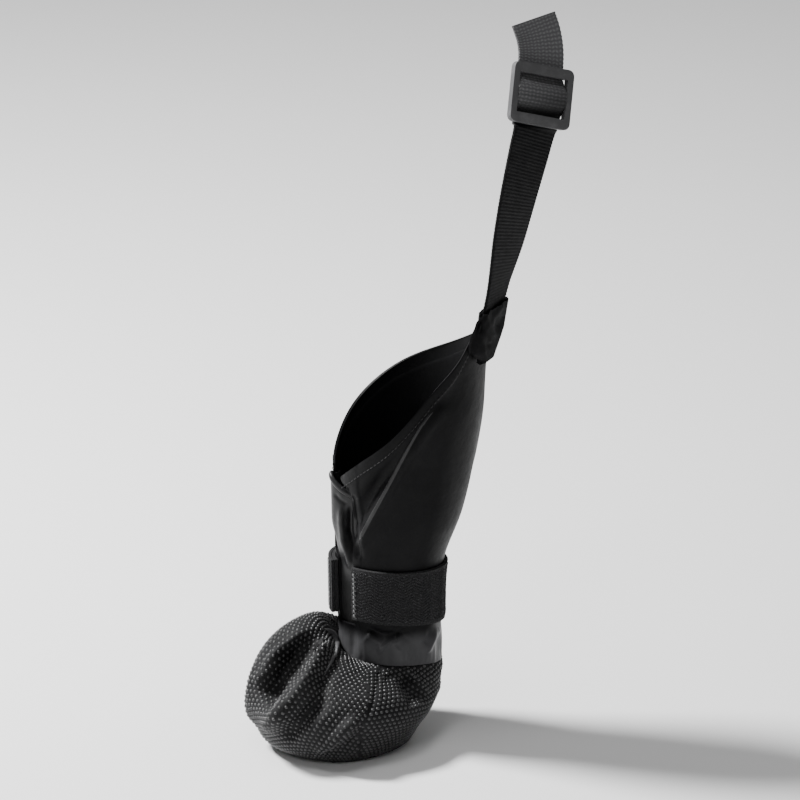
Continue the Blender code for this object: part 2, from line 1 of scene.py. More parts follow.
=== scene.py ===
"""The looks of a dog boot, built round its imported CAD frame.

Every form is worked out in millimetres in the row frame and becomes metres when a mesh is made. Creases are placed
in a view plane: across runs right and up runs up as seen from the side that they name.
"""

from __future__ import annotations

import logging
import math
from dataclasses import dataclass
from enum import Enum

import bmesh
import bpy
import numpy as np
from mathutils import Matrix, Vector
from mathutils.bvhtree import BVHTree

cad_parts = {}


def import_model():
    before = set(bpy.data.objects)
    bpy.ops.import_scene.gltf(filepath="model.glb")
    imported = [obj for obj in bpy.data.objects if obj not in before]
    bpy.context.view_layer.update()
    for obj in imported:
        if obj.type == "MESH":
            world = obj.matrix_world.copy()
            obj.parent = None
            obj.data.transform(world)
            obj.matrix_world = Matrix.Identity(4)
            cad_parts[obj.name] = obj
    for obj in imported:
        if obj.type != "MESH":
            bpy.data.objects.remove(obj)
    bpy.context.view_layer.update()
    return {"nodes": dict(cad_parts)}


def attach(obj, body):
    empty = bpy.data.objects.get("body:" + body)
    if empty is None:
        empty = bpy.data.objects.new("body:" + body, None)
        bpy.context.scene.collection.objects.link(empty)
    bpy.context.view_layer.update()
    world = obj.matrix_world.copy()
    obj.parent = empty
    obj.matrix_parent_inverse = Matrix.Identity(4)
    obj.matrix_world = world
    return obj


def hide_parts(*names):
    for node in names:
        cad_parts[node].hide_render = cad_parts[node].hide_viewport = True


MM = 0.001
# two points of a mesh nearer than this, in metres, are one
WELD = 1e-6
LOG = logging.getLogger("dog_boot")

Array = np.ndarray
Piece = bpy.types.Object
Material = bpy.types.Material
Pair = tuple[float, float]
Spot = tuple[float, float, float]
Colour = tuple[float, float, float]
Line = tuple[Pair, ...]
Rows = tuple[tuple[float, ...], ...]


# Numbers and curves


def smooth(value: Array | float) -> Array:
    """A soft step from 0 to 1.

    Args:
        value: the place, where 0 starts the step and 1 ends it.

    Returns:
        The step's height there.
    """
    value = np.clip(value, 0.0, 1.0)
    return value * value * (3.0 - 2.0 * value)


def unit(vectors: Array) -> Array:
    """Vectors scaled to length one.

    Args:
        vectors: an array whose last axis is x, y, z.

    Returns:
        The same directions with length one.
    """
    length = np.linalg.norm(vectors, axis=-1, keepdims=True)
    return vectors / np.maximum(length, 1e-9)


def way(azimuth: float) -> Array:
    """The level direction at an azimuth from +X towards +Y, in degrees."""
    turn = math.radians(azimuth)
    return np.array((math.cos(turn), math.sin(turn), 0.0))


def ways(angles: Array) -> Array:
    """The level directions at many angles, in degrees."""
    turn = np.radians(angles)
    return np.stack([np.cos(turn), np.sin(turn), 0 * turn], axis=-1)


def sight(azimuth: float, elevation: float) -> Array:
    """The direction from the boot towards a viewer at an azimuth and an elevation, in degrees."""
    e = math.radians(elevation)
    return way(azimuth) * math.cos(e) + np.array((0.0, 0.0, math.sin(e)))


def run_along(points: Array) -> Array:
    """The length of a line of points up to each of them."""
    return np.concatenate([[0.0], np.cumsum(np.linalg.norm(np.diff(points, axis=0), axis=1))])


def straight(run: Array, points: Array, at: Array) -> Array:
    """Points straight between others, at lengths along their line."""
    return np.stack([np.interp(at, run, axis) for axis in points.T], axis=-1)


def across_from(ahead: Array, up: Array, degrees: Array | float) -> Array:
    """Frames that stand on a surface.

    Args:
        ahead: a direction along the surface for each place.
        up: the surface's own direction there.
        degrees: how far each frame is turned about it.

    Returns:
        Each frame's x, y and z directions as rows.
    """
    x = unit(ahead - up * (ahead * up).sum(axis=-1, keepdims=True))
    y = np.cross(up, x)
    turn = np.radians(degrees)[..., None]
    c, s = np.cos(turn), np.sin(turn)
    return np.stack([x * c + y * s, y * c - x * s, up], axis=1)


def between(values: Array, place: Array) -> Array:
    """Values of a grid at rows and columns between its points."""
    row = np.clip(place[:, 0], 0, values.shape[0] - 1.001)
    col = np.clip(place[:, 1], 0, values.shape[1] - 1.001)
    i, j = row.astype(int), col.astype(int)
    u, v = (row - i)[:, None], (col - j)[:, None]
    low = values[i, j] * (1 - v) + values[i, j + 1] * v
    high = values[i + 1, j] * (1 - v) + values[i + 1, j + 1] * v
    return low * (1 - u) + high * u


class Curve:
    """A smooth curve through places and values, which may close on itself."""

    def __init__(self, places: tuple[float, ...], values: tuple[float, ...], period: float | None = None):
        """Keeps the rows that the curve runs through.

        Args:
            places: where the values stand, rising.
            values: what the curve reaches there.
            period: the turn after which a closed curve starts again.
        """
        keys, heights = list(places), list(values)
        self.first, self.period = keys[0], period
        if period is not None:
            keys = [k - period for k in keys[-2:]] + keys + [k + period for k in keys[:2]]
            heights = heights[-2:] + heights + heights[:2]
        self.keys, self.heights = np.array(keys, float), np.array(heights, float)
        low = np.maximum(np.arange(len(keys)) - 1, 0)
        high = np.minimum(np.arange(len(keys)) + 1, len(keys) - 1)
        self.slopes = (self.heights[high] - self.heights[low]) / (self.keys[high] - self.keys[low])

    def __call__(self, place: Array | float) -> Array:
        """The curve's value at one place or many."""
        place = np.asarray(place, float)
        if self.period is not None:
            place = self.first + (place - self.first) % self.period
        place = np.clip(place, self.keys[0], self.keys[-1])
        i = np.clip(np.searchsorted(self.keys, place, side="right") - 1, 0, len(self.keys) - 2)
        step = self.keys[i + 1] - self.keys[i]
        t = (place - self.keys[i]) / step
        return (
            self.heights[i] * (1 + 2 * t) * (1 - t) ** 2
            + self.heights[i + 1] * t * t * (3 - 2 * t)
            + step * self.slopes[i] * t * (1 - t) ** 2
            - step * self.slopes[i + 1] * t * t * (1 - t)
        )


def column(rows: Rows, index: int) -> tuple[float, ...]:
    """One column of a table."""
    return tuple(row[index] for row in rows)


def table_curve(rows: Rows, index: int = 1, period: float | None = None) -> Curve:
    """The curve of one column of a table over its first."""
    return Curve(column(rows, 0), column(rows, index), period)


def curved(run: Array, points: Array, at: Array) -> Array:
    """Points on the smooth line through others, at lengths along it."""
    return np.stack([Curve(tuple(run), tuple(axis))(at) for axis in points.T], axis=-1)


def surface_normals(grid: Array, closed: bool) -> Array:
    """Outward directions of a grid whose rows run up and whose columns run left.

    Args:
        grid: points as rows, columns, x y z.
        closed: True where the last column meets the first.

    Returns:
        Directions of length one, one for each point.
    """
    if closed:
        ring = np.concatenate([grid[:, -2:-1], grid, grid[:, 1:2]], axis=1)
        across = ring[:, 2:] - ring[:, :-2]
    else:
        across = np.gradient(grid, axis=1)
    return unit(np.cross(across, np.gradient(grid, axis=0)))


# Creases


class Side(Enum):
    """The ways that the boot is looked at from: azimuth and elevation in degrees."""

    PHOTO = (55.4, 19.4)
    REAR = (178.0, 10.0)
    INNER = (-75.0, 12.0)
    FRONT = (-5.0, 12.0)
    TOE = (-34.6, 0.0)

    def plane(self, points: Array) -> tuple[Array, Array]:
        """How far across and up this view points lie, in millimetres."""
        a, e = (math.radians(x) for x in self.value)
        across = -points[..., 0] * math.sin(a) + points[..., 1] * math.cos(a)
        level = points[..., 0] * math.cos(a) + points[..., 1] * math.sin(a)
        return across, points[..., 2] * math.cos(e) - level * math.sin(e)

    def ray(self, across: float, up: float) -> tuple[Array, Array]:
        """A far point over a place in this view, and the way from it into the picture."""
        a, e = (math.radians(x) for x in self.value)
        toward = np.array((math.cos(a) * math.cos(e), math.sin(a) * math.cos(e), math.sin(e)))
        right = np.array((-math.sin(a), math.cos(a), 0.0))
        return right * across + np.cross(toward, right) * up + toward * 400.0, -toward

    def facing(self, directions: Array) -> Array:
        """How much surfaces with these directions show from this side, from 0 to 1."""
        return smooth((directions @ way(self.value[0]) + 0.15) / 0.5)


@dataclass(frozen=True)
class Crease:
    """A trough or a ridge along a line in a view.

    Attributes:
        line: points of the line, across and up, in millimetres.
        half: half of its width.
        depth: how far it stands out, or goes in where it is negative.
        lean: how much steeper its left is than its right as one goes along it, from -0.8 to 0.8.
        fade: the share of its length over which each end dies away.
        side: the view that the line is placed in.
    """

    line: Line
    half: float
    depth: float
    lean: float = 0.0
    fade: float = 0.2
    side: Side = Side.PHOTO

    def push(self, points: Array, directions: Array) -> Array:
        """How far this crease moves points along their directions, in millimetres."""
        x, y = self.side.plane(points)
        best = np.full(x.shape, 1e9)
        place, hand = np.zeros(x.shape), np.zeros(x.shape)
        ends = np.array(self.line, float)
        lengths = np.linalg.norm(ends[1:] - ends[:-1], axis=1)
        total, run = lengths.sum(), 0.0
        for (x1, y1), (x2, y2), length in zip(ends[:-1], ends[1:], lengths):
            dx, dy = (x2 - x1) / length, (y2 - y1) / length
            t = np.clip((x - x1) * dx + (y - y1) * dy, 0.0, length)
            off = np.hypot(x - x1 - t * dx, y - y1 - t * dy)
            nearer = off < best
            best = np.where(nearer, off, best)
            place = np.where(nearer, (run + t) / total, place)
            hand = np.where(nearer, np.sign(dx * (y - y1) - dy * (x - x1)), hand)
            run += length
        share = best / (self.half * (1.0 - self.lean * hand))
        fall = np.exp(-(share**2))
        ends_fade = 1.0
        if self.fade > 0:
            ends_fade = smooth(place / self.fade) * smooth((1.0 - place) / self.fade)
        return self.depth * fall * ends_fade * self.side.facing(directions)


Creases = tuple[Crease, ...]


def pressed(grid: Array, creases: Creases, closed: bool, calm: Array | float = 1.0) -> Array:
    """A grid with its creases pressed in along its own directions.

    Args:
        grid: points as rows, columns, x y z.
        creases: what is pressed in.
        closed: True where the last column meets the first.
        calm: how much of them each point takes, from 0 to 1.

    Returns:
        The moved grid.
    """
    directions = surface_normals(grid, closed)
    push = sum(crease.push(grid, directions) for crease in creases)
    return grid + directions * (push * calm)[..., None]


# The boot's forms, with the CAD's sizes


@dataclass(frozen=True)
class ShaftForm:
    """The leg part's outside."""

    setback: float = 25.5
    radius: float = 24.3
    seam: float = 40.0
    rim_low: float = 131.0
    peak: float = 214.0
    hem_width: float = 7.5
    hem_step: float = 0.5
    flare_angle: float = 145.4
    slit_left: float = 11.0
    slit_right: float = -17.0
    flap_corner: float = 16.0
    strap_foot: float = 58.0
    strap_width: float = 28.0
    strap_tilt: float = 3.6
    strap_lowest: float = 17.0
    wall: float = 1.2
    gap: float = 0.35
    # angle and height as a share of seam
    seam_rows: Rows = (
        (-75, 1.10), (-35, 1.14), (-15, 1.03), (20, 1.01),
        (90, 0.95), (145, 0.86), (200, 0.90), (245, 1),
    )
    # angle and height as a share of the rise from rim_low to peak
    rim_rows: Rows = (
        (-17, 0), (-6, 0), (30, 0.16), (52, 0.28), (68, 0.41),
        (86, 0.59), (103, 0.74), (114, 0.90), (125, 1), (137, 0.93),
        (160, 0.79), (190, 0.64), (230, 0.49), (270, 0.31), (310, 0.11),
    )
    # height as a share of peak, then reaches along, against and across the flare as shares of radius
    sections: Rows = (
        (0.15, 0.98, 1.03, 0.99), (0.26, 0.96, 1.07, 0.98), (0.40, 1.02, 1.09, 1.02),
        (0.52, 1.38, 1.11, 1.13), (0.63, 1.57, 1.13, 1.25), (0.74, 1.71, 1.17, 1.36),
        (0.86, 1.78, 1.22, 1.46), (0.96, 1.92, 1.26, 1.55), (1.05, 2.04, 1.30, 1.60),
    )
    # angle, width and depth of the gathers over the ankle seam
    gathers: Rows = (
        (8, 8, -1.2), (25, 10, 1.4), (44, 9, -1.2), (62, 10, 1.1), (82, 9, -1.3),
        (104, 11, 1.2), (128, 10, -1.1), (165, 13, 1.3), (195, 11, -1.3),
        (222, 12, 1.2), (252, 11, -1.3), (283, 12, 1.2), (318, 11, -1.1),
    )
    # the creases that the CAD has too
    main_folds: Creases = (
        Crease(((40.66, 155.15), (6.42, 94.16)), 3, 2, fade=0),
        Crease(((35.31, 157.29), (1.07, 96.30)), 4.71, -2.2, fade=0),
        Crease(((44.94, 147.66), (36.38, 102.72)), 8.56, 0.9, fade=0),
    )

    @property
    def ring(self) -> float:
        """Degrees round the leg from the slit's left edge to its right edge."""
        return 360.0 + self.slit_right - self.slit_left

    def seam_height(self, angle: Array) -> Array:
        """Height of the ankle seam."""
        return self.seam * table_curve(self.seam_rows, period=360.0)(angle)

    def rim_height(self, angle: Array) -> Array:
        """Height of the rim."""
        share = table_curve(self.rim_rows, period=360.0)(angle)
        return self.rim_low + (self.peak - self.rim_low) * share

    def strap_low(self, angle: Array) -> Array:
        """Height of the strap's lower edge."""
        return self.strap_foot + self.strap_tilt * np.cos(np.radians(angle - self.strap_lowest))

    def strap_high(self, angle: Array) -> Array:
        """Height of the strap's upper edge."""
        tilt = 0.5 * self.strap_tilt * np.cos(np.radians(angle - self.strap_lowest))
        return self.strap_foot + self.strap_width + tilt

    def reach(self, angle: Array, height: Array) -> Array:
        """Distance of the outside from the leg's axis, before its folds."""
        share = height / self.peak
        flare, front, across = (self.radius * table_curve(self.sections, k)(share) for k in (1, 2, 3))
        middle, long = (flare - front) / 2, (flare + front) / 2
        turn = np.radians(angle - self.flare_angle)
        a = (np.cos(turn) / long) ** 2 + (np.sin(turn) / across) ** 2
        b = -2 * middle * np.cos(turn) / long**2
        c = (middle / long) ** 2 - 1
        return (-b + np.sqrt(b * b - 4 * a * c)) / (2 * a)

    def place(self, angle: Array, radius: Array, height: Array) -> Array:
        """Points at an angle, a distance from the leg's axis and a height."""
        turn = np.radians(angle)
        return np.stack([radius * np.cos(turn) - self.setback, radius * np.sin(turn), height + 0 * angle], axis=-1)

    def band_push(self, angle: Array, height: Array) -> Array:
        """The gathers between the ankle seam and the strap."""
        low, high = self.seam_height(angle), self.strap_low(angle)
        t = np.clip((height - low) / (high - low), 0.0, 1.0)
        push = 0.0
        for middle, width, depth in self.gathers:
            off = (angle - middle + 180.0) % 360.0 - 180.0
            push = push + depth * np.exp(-((off / width) ** 2))
        return push * np.sin(np.pi * t)

    def point(self, angle: Array, height: Array, out: Array | float = 0.0) -> Array:
        """Points of the outside with the CAD's folds, moved outwards."""
        facing = ways(angle)
        points = self.place(angle, self.reach(angle, height), height)
        above = height - self.strap_high(angle)
        below = self.rim_height(angle) - self.hem_width - height
        calm = smooth(above / 9.0) * smooth(below / 12.0)
        push = calm * sum(fold.push(points, facing) for fold in self.main_folds)
        return points + facing * (push + self.band_push(angle, height) + out)[..., None]


@dataclass(frozen=True)
class FootForm:
    """The foot part's outside, from the floor's edge to the ankle seam."""

    shaft: ShaftForm
    length: float = 90.0
    width: float = 80.0
    puff: float = 60.0
    toe_spring: float = 2.5
    arch_rise: float = 0.8
    sole_wall: float = 2.2
    # front, rear and half width, then heights at the four named angles as shares of puff
    sections: Rows = (
        (0.405, 0.330, 0.365, 0, 0, 0, 0),
        (0.492, 0.380, 0.436, 0.133, 0.133, 0.133, 0.133),
        (0.544, 0.450, 0.500, 0.383, 0.330, 0.265, 0.320),
        (0.522, 0.494, 0.506, 0.600, 0.460, 0.365, 0.430),
        (0.433, 0.511, 0.462, 0.805, 0.570, 0.430, 0.515),
        (0.289, 0.528, 0.406, 0.935, 0.625, 0.485, 0.575),
        (0.133, 0.544, 0.350, 0.960, 0.650, 0.530, 0.615),
    )
    height_angles: tuple[float, ...] = (-35.0, 50.0, 150.0, 235.0)
    # the CAD's folds, of which the first ends a little earlier here
    main_folds: Creases = (
        Crease(((-13.5, 47.7), (-38, 22.4)), 6.75, -6.2, fade=0),
        Crease(((-9.9, 45.9), (-36, 7.2)), 4.05, 3.8, fade=0),
        Crease(((-12.6, 18.9), (-27.9, 1.8)), 4.05, -2.2, fade=0),
        Crease(((4.5, 9.9), (-16.2, -9)), 4.05, 1.6, fade=0),
        Crease(((22.5, 30.6), (36, 22.5)), 5.4, -3.2, fade=0),
    )

    def section(self, k: int, angle: Array) -> Array:
        """Points of section k. The last one is the ankle seam, on the shaft's own outline."""
        if k == len(self.sections):
            height = self.shaft.seam_height(angle)
            return self.shaft.place(angle, self.shaft.reach(angle, height), height)
        row = self.sections[k]
        front, rear, half = self.length * row[0], self.length * row[1], self.width * row[2]
        turn = np.radians(angle)
        height = self.puff * Curve(self.height_angles, row[3:], 360.0)(angle)
        x = (front - rear) / 2 + (front + rear) / 2 * np.cos(turn)
        return np.stack([x, half * np.sin(turn), height], axis=-1)

    def point(self, places: Array, angles: Array) -> Array:
        """The outside as a grid of places counted in sections and angles, with the main folds."""
        last = len(self.sections)
        rings = np.stack([self.section(k, angles) for k in range(last + 1)])
        k = np.minimum(places.astype(int), last - 1)
        t = (places - k)[:, None, None]
        p0, p1, p2, p3 = (rings[np.clip(k + step, 0, last)] for step in (-1, 0, 1, 2))
        m1, m2 = (p2 - p0) / 2, (p3 - p1) / 2
        grid = (
            p1 * ((1 + 2 * t) * (1 - t) ** 2)
            + p2 * (t * t * (3 - 2 * t))
            + m1 * (t * (1 - t) ** 2)
            - m2 * (t * t * (1 - t))
        )
        core = np.array((-0.05 * self.length, 0.0, 0.4 * self.puff))
        facing = unit(grid - core)
        calm = smooth(places - 1.0) * smooth((last - places) / 0.9)
        push = sum(fold.push(grid, facing) for fold in self.main_folds)
        return grid + facing * (push * calm[:, None])[..., None]

    def rise(self, angle: Array) -> Array:
        """The toe spring and the arch under the sole's edge."""
        toe = smooth((np.cos(np.radians(angle)) - 0.55) / 0.45)
        waist = np.exp(-(((np.abs(angle % 360.0 - 180.0) - 80.0) / 22.0) ** 2))
        return self.toe_spring * toe + self.arch_rise * waist

    def underside(self, shares: Array, angles: Array) -> Array:
        """The sole's underside as a grid: share 1 is the floor's edge and share 2 its rim."""
        edge = self.section(0, angles)
        middle = float(self.section(0, np.array([90.0]))[0, 0])
        rise = self.rise(angles)
        rows = []
        for share in shares:
            if share > 1.0:
                ring = self.point(np.array([share - 1.0]), angles)[0]
                ring[:, 2] += rise * (2.0 - share) ** 2
            else:
                lift = rise * max(share - 0.72, 0.0) / 0.28
                ring = np.stack([middle + (edge[:, 0] - middle) * share, edge[:, 1] * share, lift], axis=-1)
            rows.append(ring)
        return np.stack(rows)


# Meshes


def stood(name: str, data: bpy.types.ID) -> Piece:
    """A new object in the scene that holds a mesh, a lamp or a camera."""
    obj = bpy.data.objects.new(name, data)
    bpy.context.scene.collection.objects.link(obj)
    return obj


class Reshape:
    """A piece's mesh opened for a with block, and written back at its end."""

    def __init__(self, obj: Piece):
        """Keeps the piece's mesh."""
        self.mesh, self.form = obj.data, bmesh.new()

    def __enter__(self) -> bmesh.types.BMesh:
        self.form.from_mesh(self.mesh)
        return self.form

    def __exit__(self, *problem: object) -> None:
        self.form.to_mesh(self.mesh)
        self.form.free()


class MeshKit:
    """Makes Blender meshes out of grids of points."""

    @staticmethod
    def sheet(name: str, grid: Array, closed: bool, size_u: float, size_v: float) -> Piece:
        """A primitive grid laid onto points, with UVs in millimetres.

        Args:
            name: the object's name.
            grid: points as rows, columns, x y z, in millimetres.
            closed: True where the last column is the first again, which are then welded.
            size_u: the sheet's real width, for the UVs.
            size_v: the sheet's real height, for the UVs.

        Returns:
            The new object.
        """
        tall, wide = grid.shape[:2]
        bpy.ops.object.select_all(action="DESELECT")
        bpy.ops.mesh.primitive_grid_add(x_subdivisions=wide - 1, y_subdivisions=tall - 1, size=1.0, calc_uvs=True)
        obj = bpy.context.active_object
        obj.name = name
        obj.data.name = name
        obj.location = (0.0, 0.0, 0.0)
        obj.data.vertices.foreach_set("co", (grid.reshape(-1, 3) * MM).astype(np.float32).ravel())
        layer = obj.data.uv_layers.active
        flat = np.zeros(len(layer.data) * 2, np.float32)
        layer.data.foreach_get("uv", flat)
        flat = flat.reshape(-1, 2) * np.array((size_u, size_v), np.float32)
        layer.data.foreach_set("uv", flat.ravel())
        obj.data.update()
        if closed:
            bpy.ops.object.mode_set(mode="EDIT")
            bpy.ops.mesh.select_all(action="SELECT")
            bpy.ops.mesh.remove_doubles(threshold=WELD)
            bpy.ops.object.mode_set(mode="OBJECT")
        return obj

    @staticmethod
    def pick(obj: Piece) -> None:
        """Selects one object alone."""
        bpy.ops.object.select_all(action="DESELECT")
        obj.select_set(True)
        bpy.context.view_layer.objects.active = obj

    @staticmethod
    def apply(obj: Piece, kind: str, **settings: object) -> None:
        """Adds a modifier with its settings and applies it."""
        MeshKit.pick(obj)
        modifier = obj.modifiers.new(kind.lower(), kind)
        for name, value in settings.items():
            setattr(modifier, name, value)
        bpy.ops.object.modifier_apply(modifier=modifier.name)

    @staticmethod
    def wall(obj: Piece, thickness: float, offset: float = -1.0) -> None:
        """Gives a sheet its thickness, in millimetres, inwards unless the offset says otherwise."""
        MeshKit.apply(
            obj, "SOLIDIFY", thickness=thickness * MM, offset=offset, use_quality_normals=True, use_even_offset=False
        )

    @staticmethod
    def dress(obj: Piece, angle: float, finish: Material) -> None:
        """Gives a piece smooth shading, except at edges sharper than an angle in degrees, and its material."""
        MeshKit.pick(obj)
        bpy.ops.object.shade_smooth_by_angle(angle=math.radians(angle))
        obj.data.materials.append(finish)

    @staticmethod
    def cap(obj: Piece) -> None:
        """Closes a tube's open ends."""
        with Reshape(obj) as form:
            bmesh.ops.holes_fill(form, edges=[e for e in form.edges if e.is_boundary], sides=0)
            bmesh.ops.recalc_face_normals(form, faces=form.faces)

    @staticmethod
    def copies(
        name: str, shape: Array, faces: list[tuple[int, ...]], places: Array, frames: Array,
        finish: Material,
    ) -> Piece:
        """Many copies of one small shape as a single mesh.

        Args:
            name: the object's name.
            shape: the shape's points, in millimetres.
            faces: the shape's faces.
            places: where each copy stands, in millimetres.
            frames: each copy's own x, y and z directions, as rows.
            finish: their material.

        Returns:
            The new object.
        """
        count, corners = len(places), len(shape)
        points = places[:, None] + np.einsum("pk,nkx->npx", shape, frames)
        step = np.arange(count)[:, None] * corners
        mesh = bpy.data.meshes.new(name)
        sizes = {len(f) for f in faces}
        parts, totals = [], []
        for size in sorted(sizes):
            flat = np.array([f for f in faces if len(f) == size])
            parts.append((flat.reshape(1, -1) + step).reshape(-1))
            totals.append(np.full(len(flat) * count, size))
        loops, totals = np.concatenate(parts), np.concatenate(totals)
        mesh.vertices.add(count * corners)
        mesh.vertices.foreach_set("co", (points * MM).astype(np.float32).ravel())
        mesh.loops.add(len(loops))
        mesh.loops.foreach_set("vertex_index", loops.astype(np.int32))
        mesh.polygons.add(len(totals))
        starts = np.concatenate([[0], np.cumsum(totals)[:-1]])
        mesh.polygons.foreach_set("loop_start", starts.astype(np.int32))
        mesh.polygons.foreach_set("loop_total", totals.astype(np.int32))
        mesh.update(calc_edges=True)
        mesh.validate()
        mesh.shade_smooth()
        mesh.materials.append(finish)
        return stood(name, mesh)


class FlatPanel:
    """A curved panel laid flat, so that a pattern can be set out on the fabric as it was printed."""

    # every third row and column is unwrapped, in a dozen passes
    COARSE = 3
    PASSES = 12

    def __init__(self, grid: Array):
        """Flattens a panel with the least stretch.

        Args:
            grid: the panel's fine points as rows, columns, x y z, in millimetres.
        """
        self.grid = grid
        self.normals = surface_normals(grid, False)
        rows, columns = (np.unique(np.append(np.arange(0, n, self.COARSE), n - 1)) for n in grid.shape[:2])
        coarse = grid[np.ix_(rows, columns)]
        obj = MeshKit.sheet("flat_panel", coarse, False, 1.0, 1.0)
        bpy.ops.object.mode_set(mode="EDIT")
        bpy.ops.mesh.select_all(action="SELECT")
        bpy.ops.uv.unwrap(method="MINIMUM_STRETCH", fill_holes=False, margin=0.0, iterations=self.PASSES)
        bpy.ops.object.mode_set(mode="OBJECT")
        flat = np.zeros(len(obj.data.loops) * 2, np.float32)
        obj.data.uv_layers.active.data.foreach_get("uv", flat)
        index = np.zeros(len(obj.data.loops), np.int32)
        obj.data.loops.foreach_get("vertex_index", index)
        uv = np.zeros((coarse.shape[0] * coarse.shape[1], 2))
        uv[index] = flat.reshape(-1, 2)
        bpy.data.objects.remove(obj, do_unlink=True)
        self.uv = uv.reshape(*coarse.shape[:2], 2)
        self.uv *= math.sqrt(self.area(coarse) / self.area(np.dstack([self.uv, 0 * self.uv[..., 0]])))
        self.level(rows, columns)

    @staticmethod
    def area(grid: Array) -> float:
        """The area of a grid of points."""
        a, b = grid[1:, 1:] - grid[:-1, :-1], grid[1:, :-1] - grid[:-1, 1:]
        return float(np.linalg.norm(np.cross(a, b), axis=-1).sum()) / 2

    def level(self, rows: Array, columns: Array) -> None:
        """Turns the flat panel upright about its middle, and keeps its triangles."""
        tall, wide = self.uv.shape[:2]
        middle = self.uv[tall // 2, wide // 2]
        ahead = self.uv[tall // 2, wide // 2 + 2] - self.uv[tall // 2, wide // 2 - 2]
        turn = math.atan2(ahead[1], ahead[0])
        c, s = math.cos(turn), math.sin(turn)
        self.uv = (self.uv - middle) @ np.array(((c, -s), (s, c)))
        upward = self.uv[tall // 2 + 2, wide // 2] - self.uv[tall // 2 - 2, wide // 2]
        if upward[1] < 0:
            self.uv[..., 1] *= -1.0
        self.places = np.stack(np.meshgrid(rows, columns, indexing="ij"), axis=-1).reshape(-1, 2).astype(float)
        number = np.arange(tall * wide).reshape(tall, wide)
        a, b, c4, d = number[:-1, :-1], number[:-1, 1:], number[1:, 1:], number[1:, :-1]
        self.triangles = np.concatenate([
            np.stack([a, b, c4], axis=-1).reshape(-1, 3), np.stack([a, c4, d], axis=-1).reshape(-1, 3)
        ])
        flat = self.uv.reshape(-1, 2)
        points = [(float(u), float(v), 0.0) for u, v in flat]
        self.tree = BVHTree.FromPolygons(points, [tuple(int(i) for i in t) for t in self.triangles])

    def lay(self, spots: Array) -> tuple[Array, Array, Array]:
        """Carries flat spots back onto the panel.

        Args:
            spots: places on the flat panel, in millimetres from its middle.

        Returns:
            The rows and columns of those that fall on the panel, their points, and their frames.
        """
        flat = self.uv.reshape(-1, 2)
        places, along = [], []
        for x, y in spots:
            hit, _, face, _ = self.tree.ray_cast(Vector((x, y, 1.0)), Vector((0.0, 0.0, -1.0)))
            if hit is None:
                continue
            corners = self.triangles[face]
            p = flat[corners]
            edge = np.array((p[1] - p[0], p[2] - p[0])).T
            turned = np.linalg.inv(edge)
            b, c = turned @ (np.array((x, y)) - p[0])
            spot = self.places[corners]
            places.append(spot[0] * (1 - b - c) + spot[1] * b + spot[2] * c)
            step = self.grid[tuple(spot[1:].astype(int).T)] - self.grid[tuple(spot[0].astype(int))]
            along.append(turned[0, 0] * step[0] + turned[1, 0] * step[1])
        place = np.array(places)
        frames = across_from(np.array(along), unit(between(self.normals, place)), 0.0)
        return place, between(self.grid, place), frames


@dataclass(frozen=True)
class DotPattern:
    """A staggered lattice of oval drops."""

    pitch: float = 2.5
    row_pitch: float = 2.08
    turn: float = 0.0
    long: float = 0.86
    short: float = 0.72
    height: float = 0.46
    spread: float = 150.0

    def spots(self, seed: int) -> Array:
        """Places of the lattice on the flat fabric, with a little unevenness."""
        chance = np.random.default_rng(seed)
        steps = int(self.spread / self.pitch)
        lines = int(self.spread / self.row_pitch)
        i, j = np.meshgrid(np.arange(-steps, steps), np.arange(-lines, lines))
        flat = np.stack([(i + 0.5 * (j % 2)) * self.pitch, j * self.row_pitch], axis=-1).reshape(-1, 2)
        flat = flat + chance.normal(0.0, 0.045, flat.shape)
        c, s = math.cos(math.radians(self.turn)), math.sin(math.radians(self.turn))
        return flat @ np.array(((c, s), (-s, c)))

    def drop(self, sides: int) -> tuple[Array, list[tuple[int, ...]]]:
        """One drop with a number of sides: its points and faces."""
        turn = np.arange(sides) * 2 * np.pi / sides
        points = [(0.0, 0.0, self.height)]
        for share, lift in ((0.40, 0.90), (0.78, 0.56), (1.0, -0.10)):
            points += [
                (self.long * share * math.cos(t), self.short * share * math.sin(t), self.height * lift) for t in turn
            ]
        faces = [(0, 1 + k, 1 + (k + 1) % sides) for k in range(sides)]
        for ring in (1, 1 + sides):
            faces += [
                (ring + k, ring + sides + k, ring + sides + (k + 1) % sides, ring + (k + 1) % sides)
                for k in range(sides)
            ]
        return np.array(points), faces

    def build(
        self, name: str, points: Array, frames: Array, seed: int, finish: Material,
        sides: int = 10,
    ) -> Piece:
        """The drops on their places as one mesh."""
        chance = np.random.default_rng(seed)
        shape, faces = self.drop(sides)
        size = chance.normal(1.0, 0.06, (len(points), 1, 1)).clip(0.8, 1.2)
        return MeshKit.copies(name, shape, faces, points, frames * size, finish)


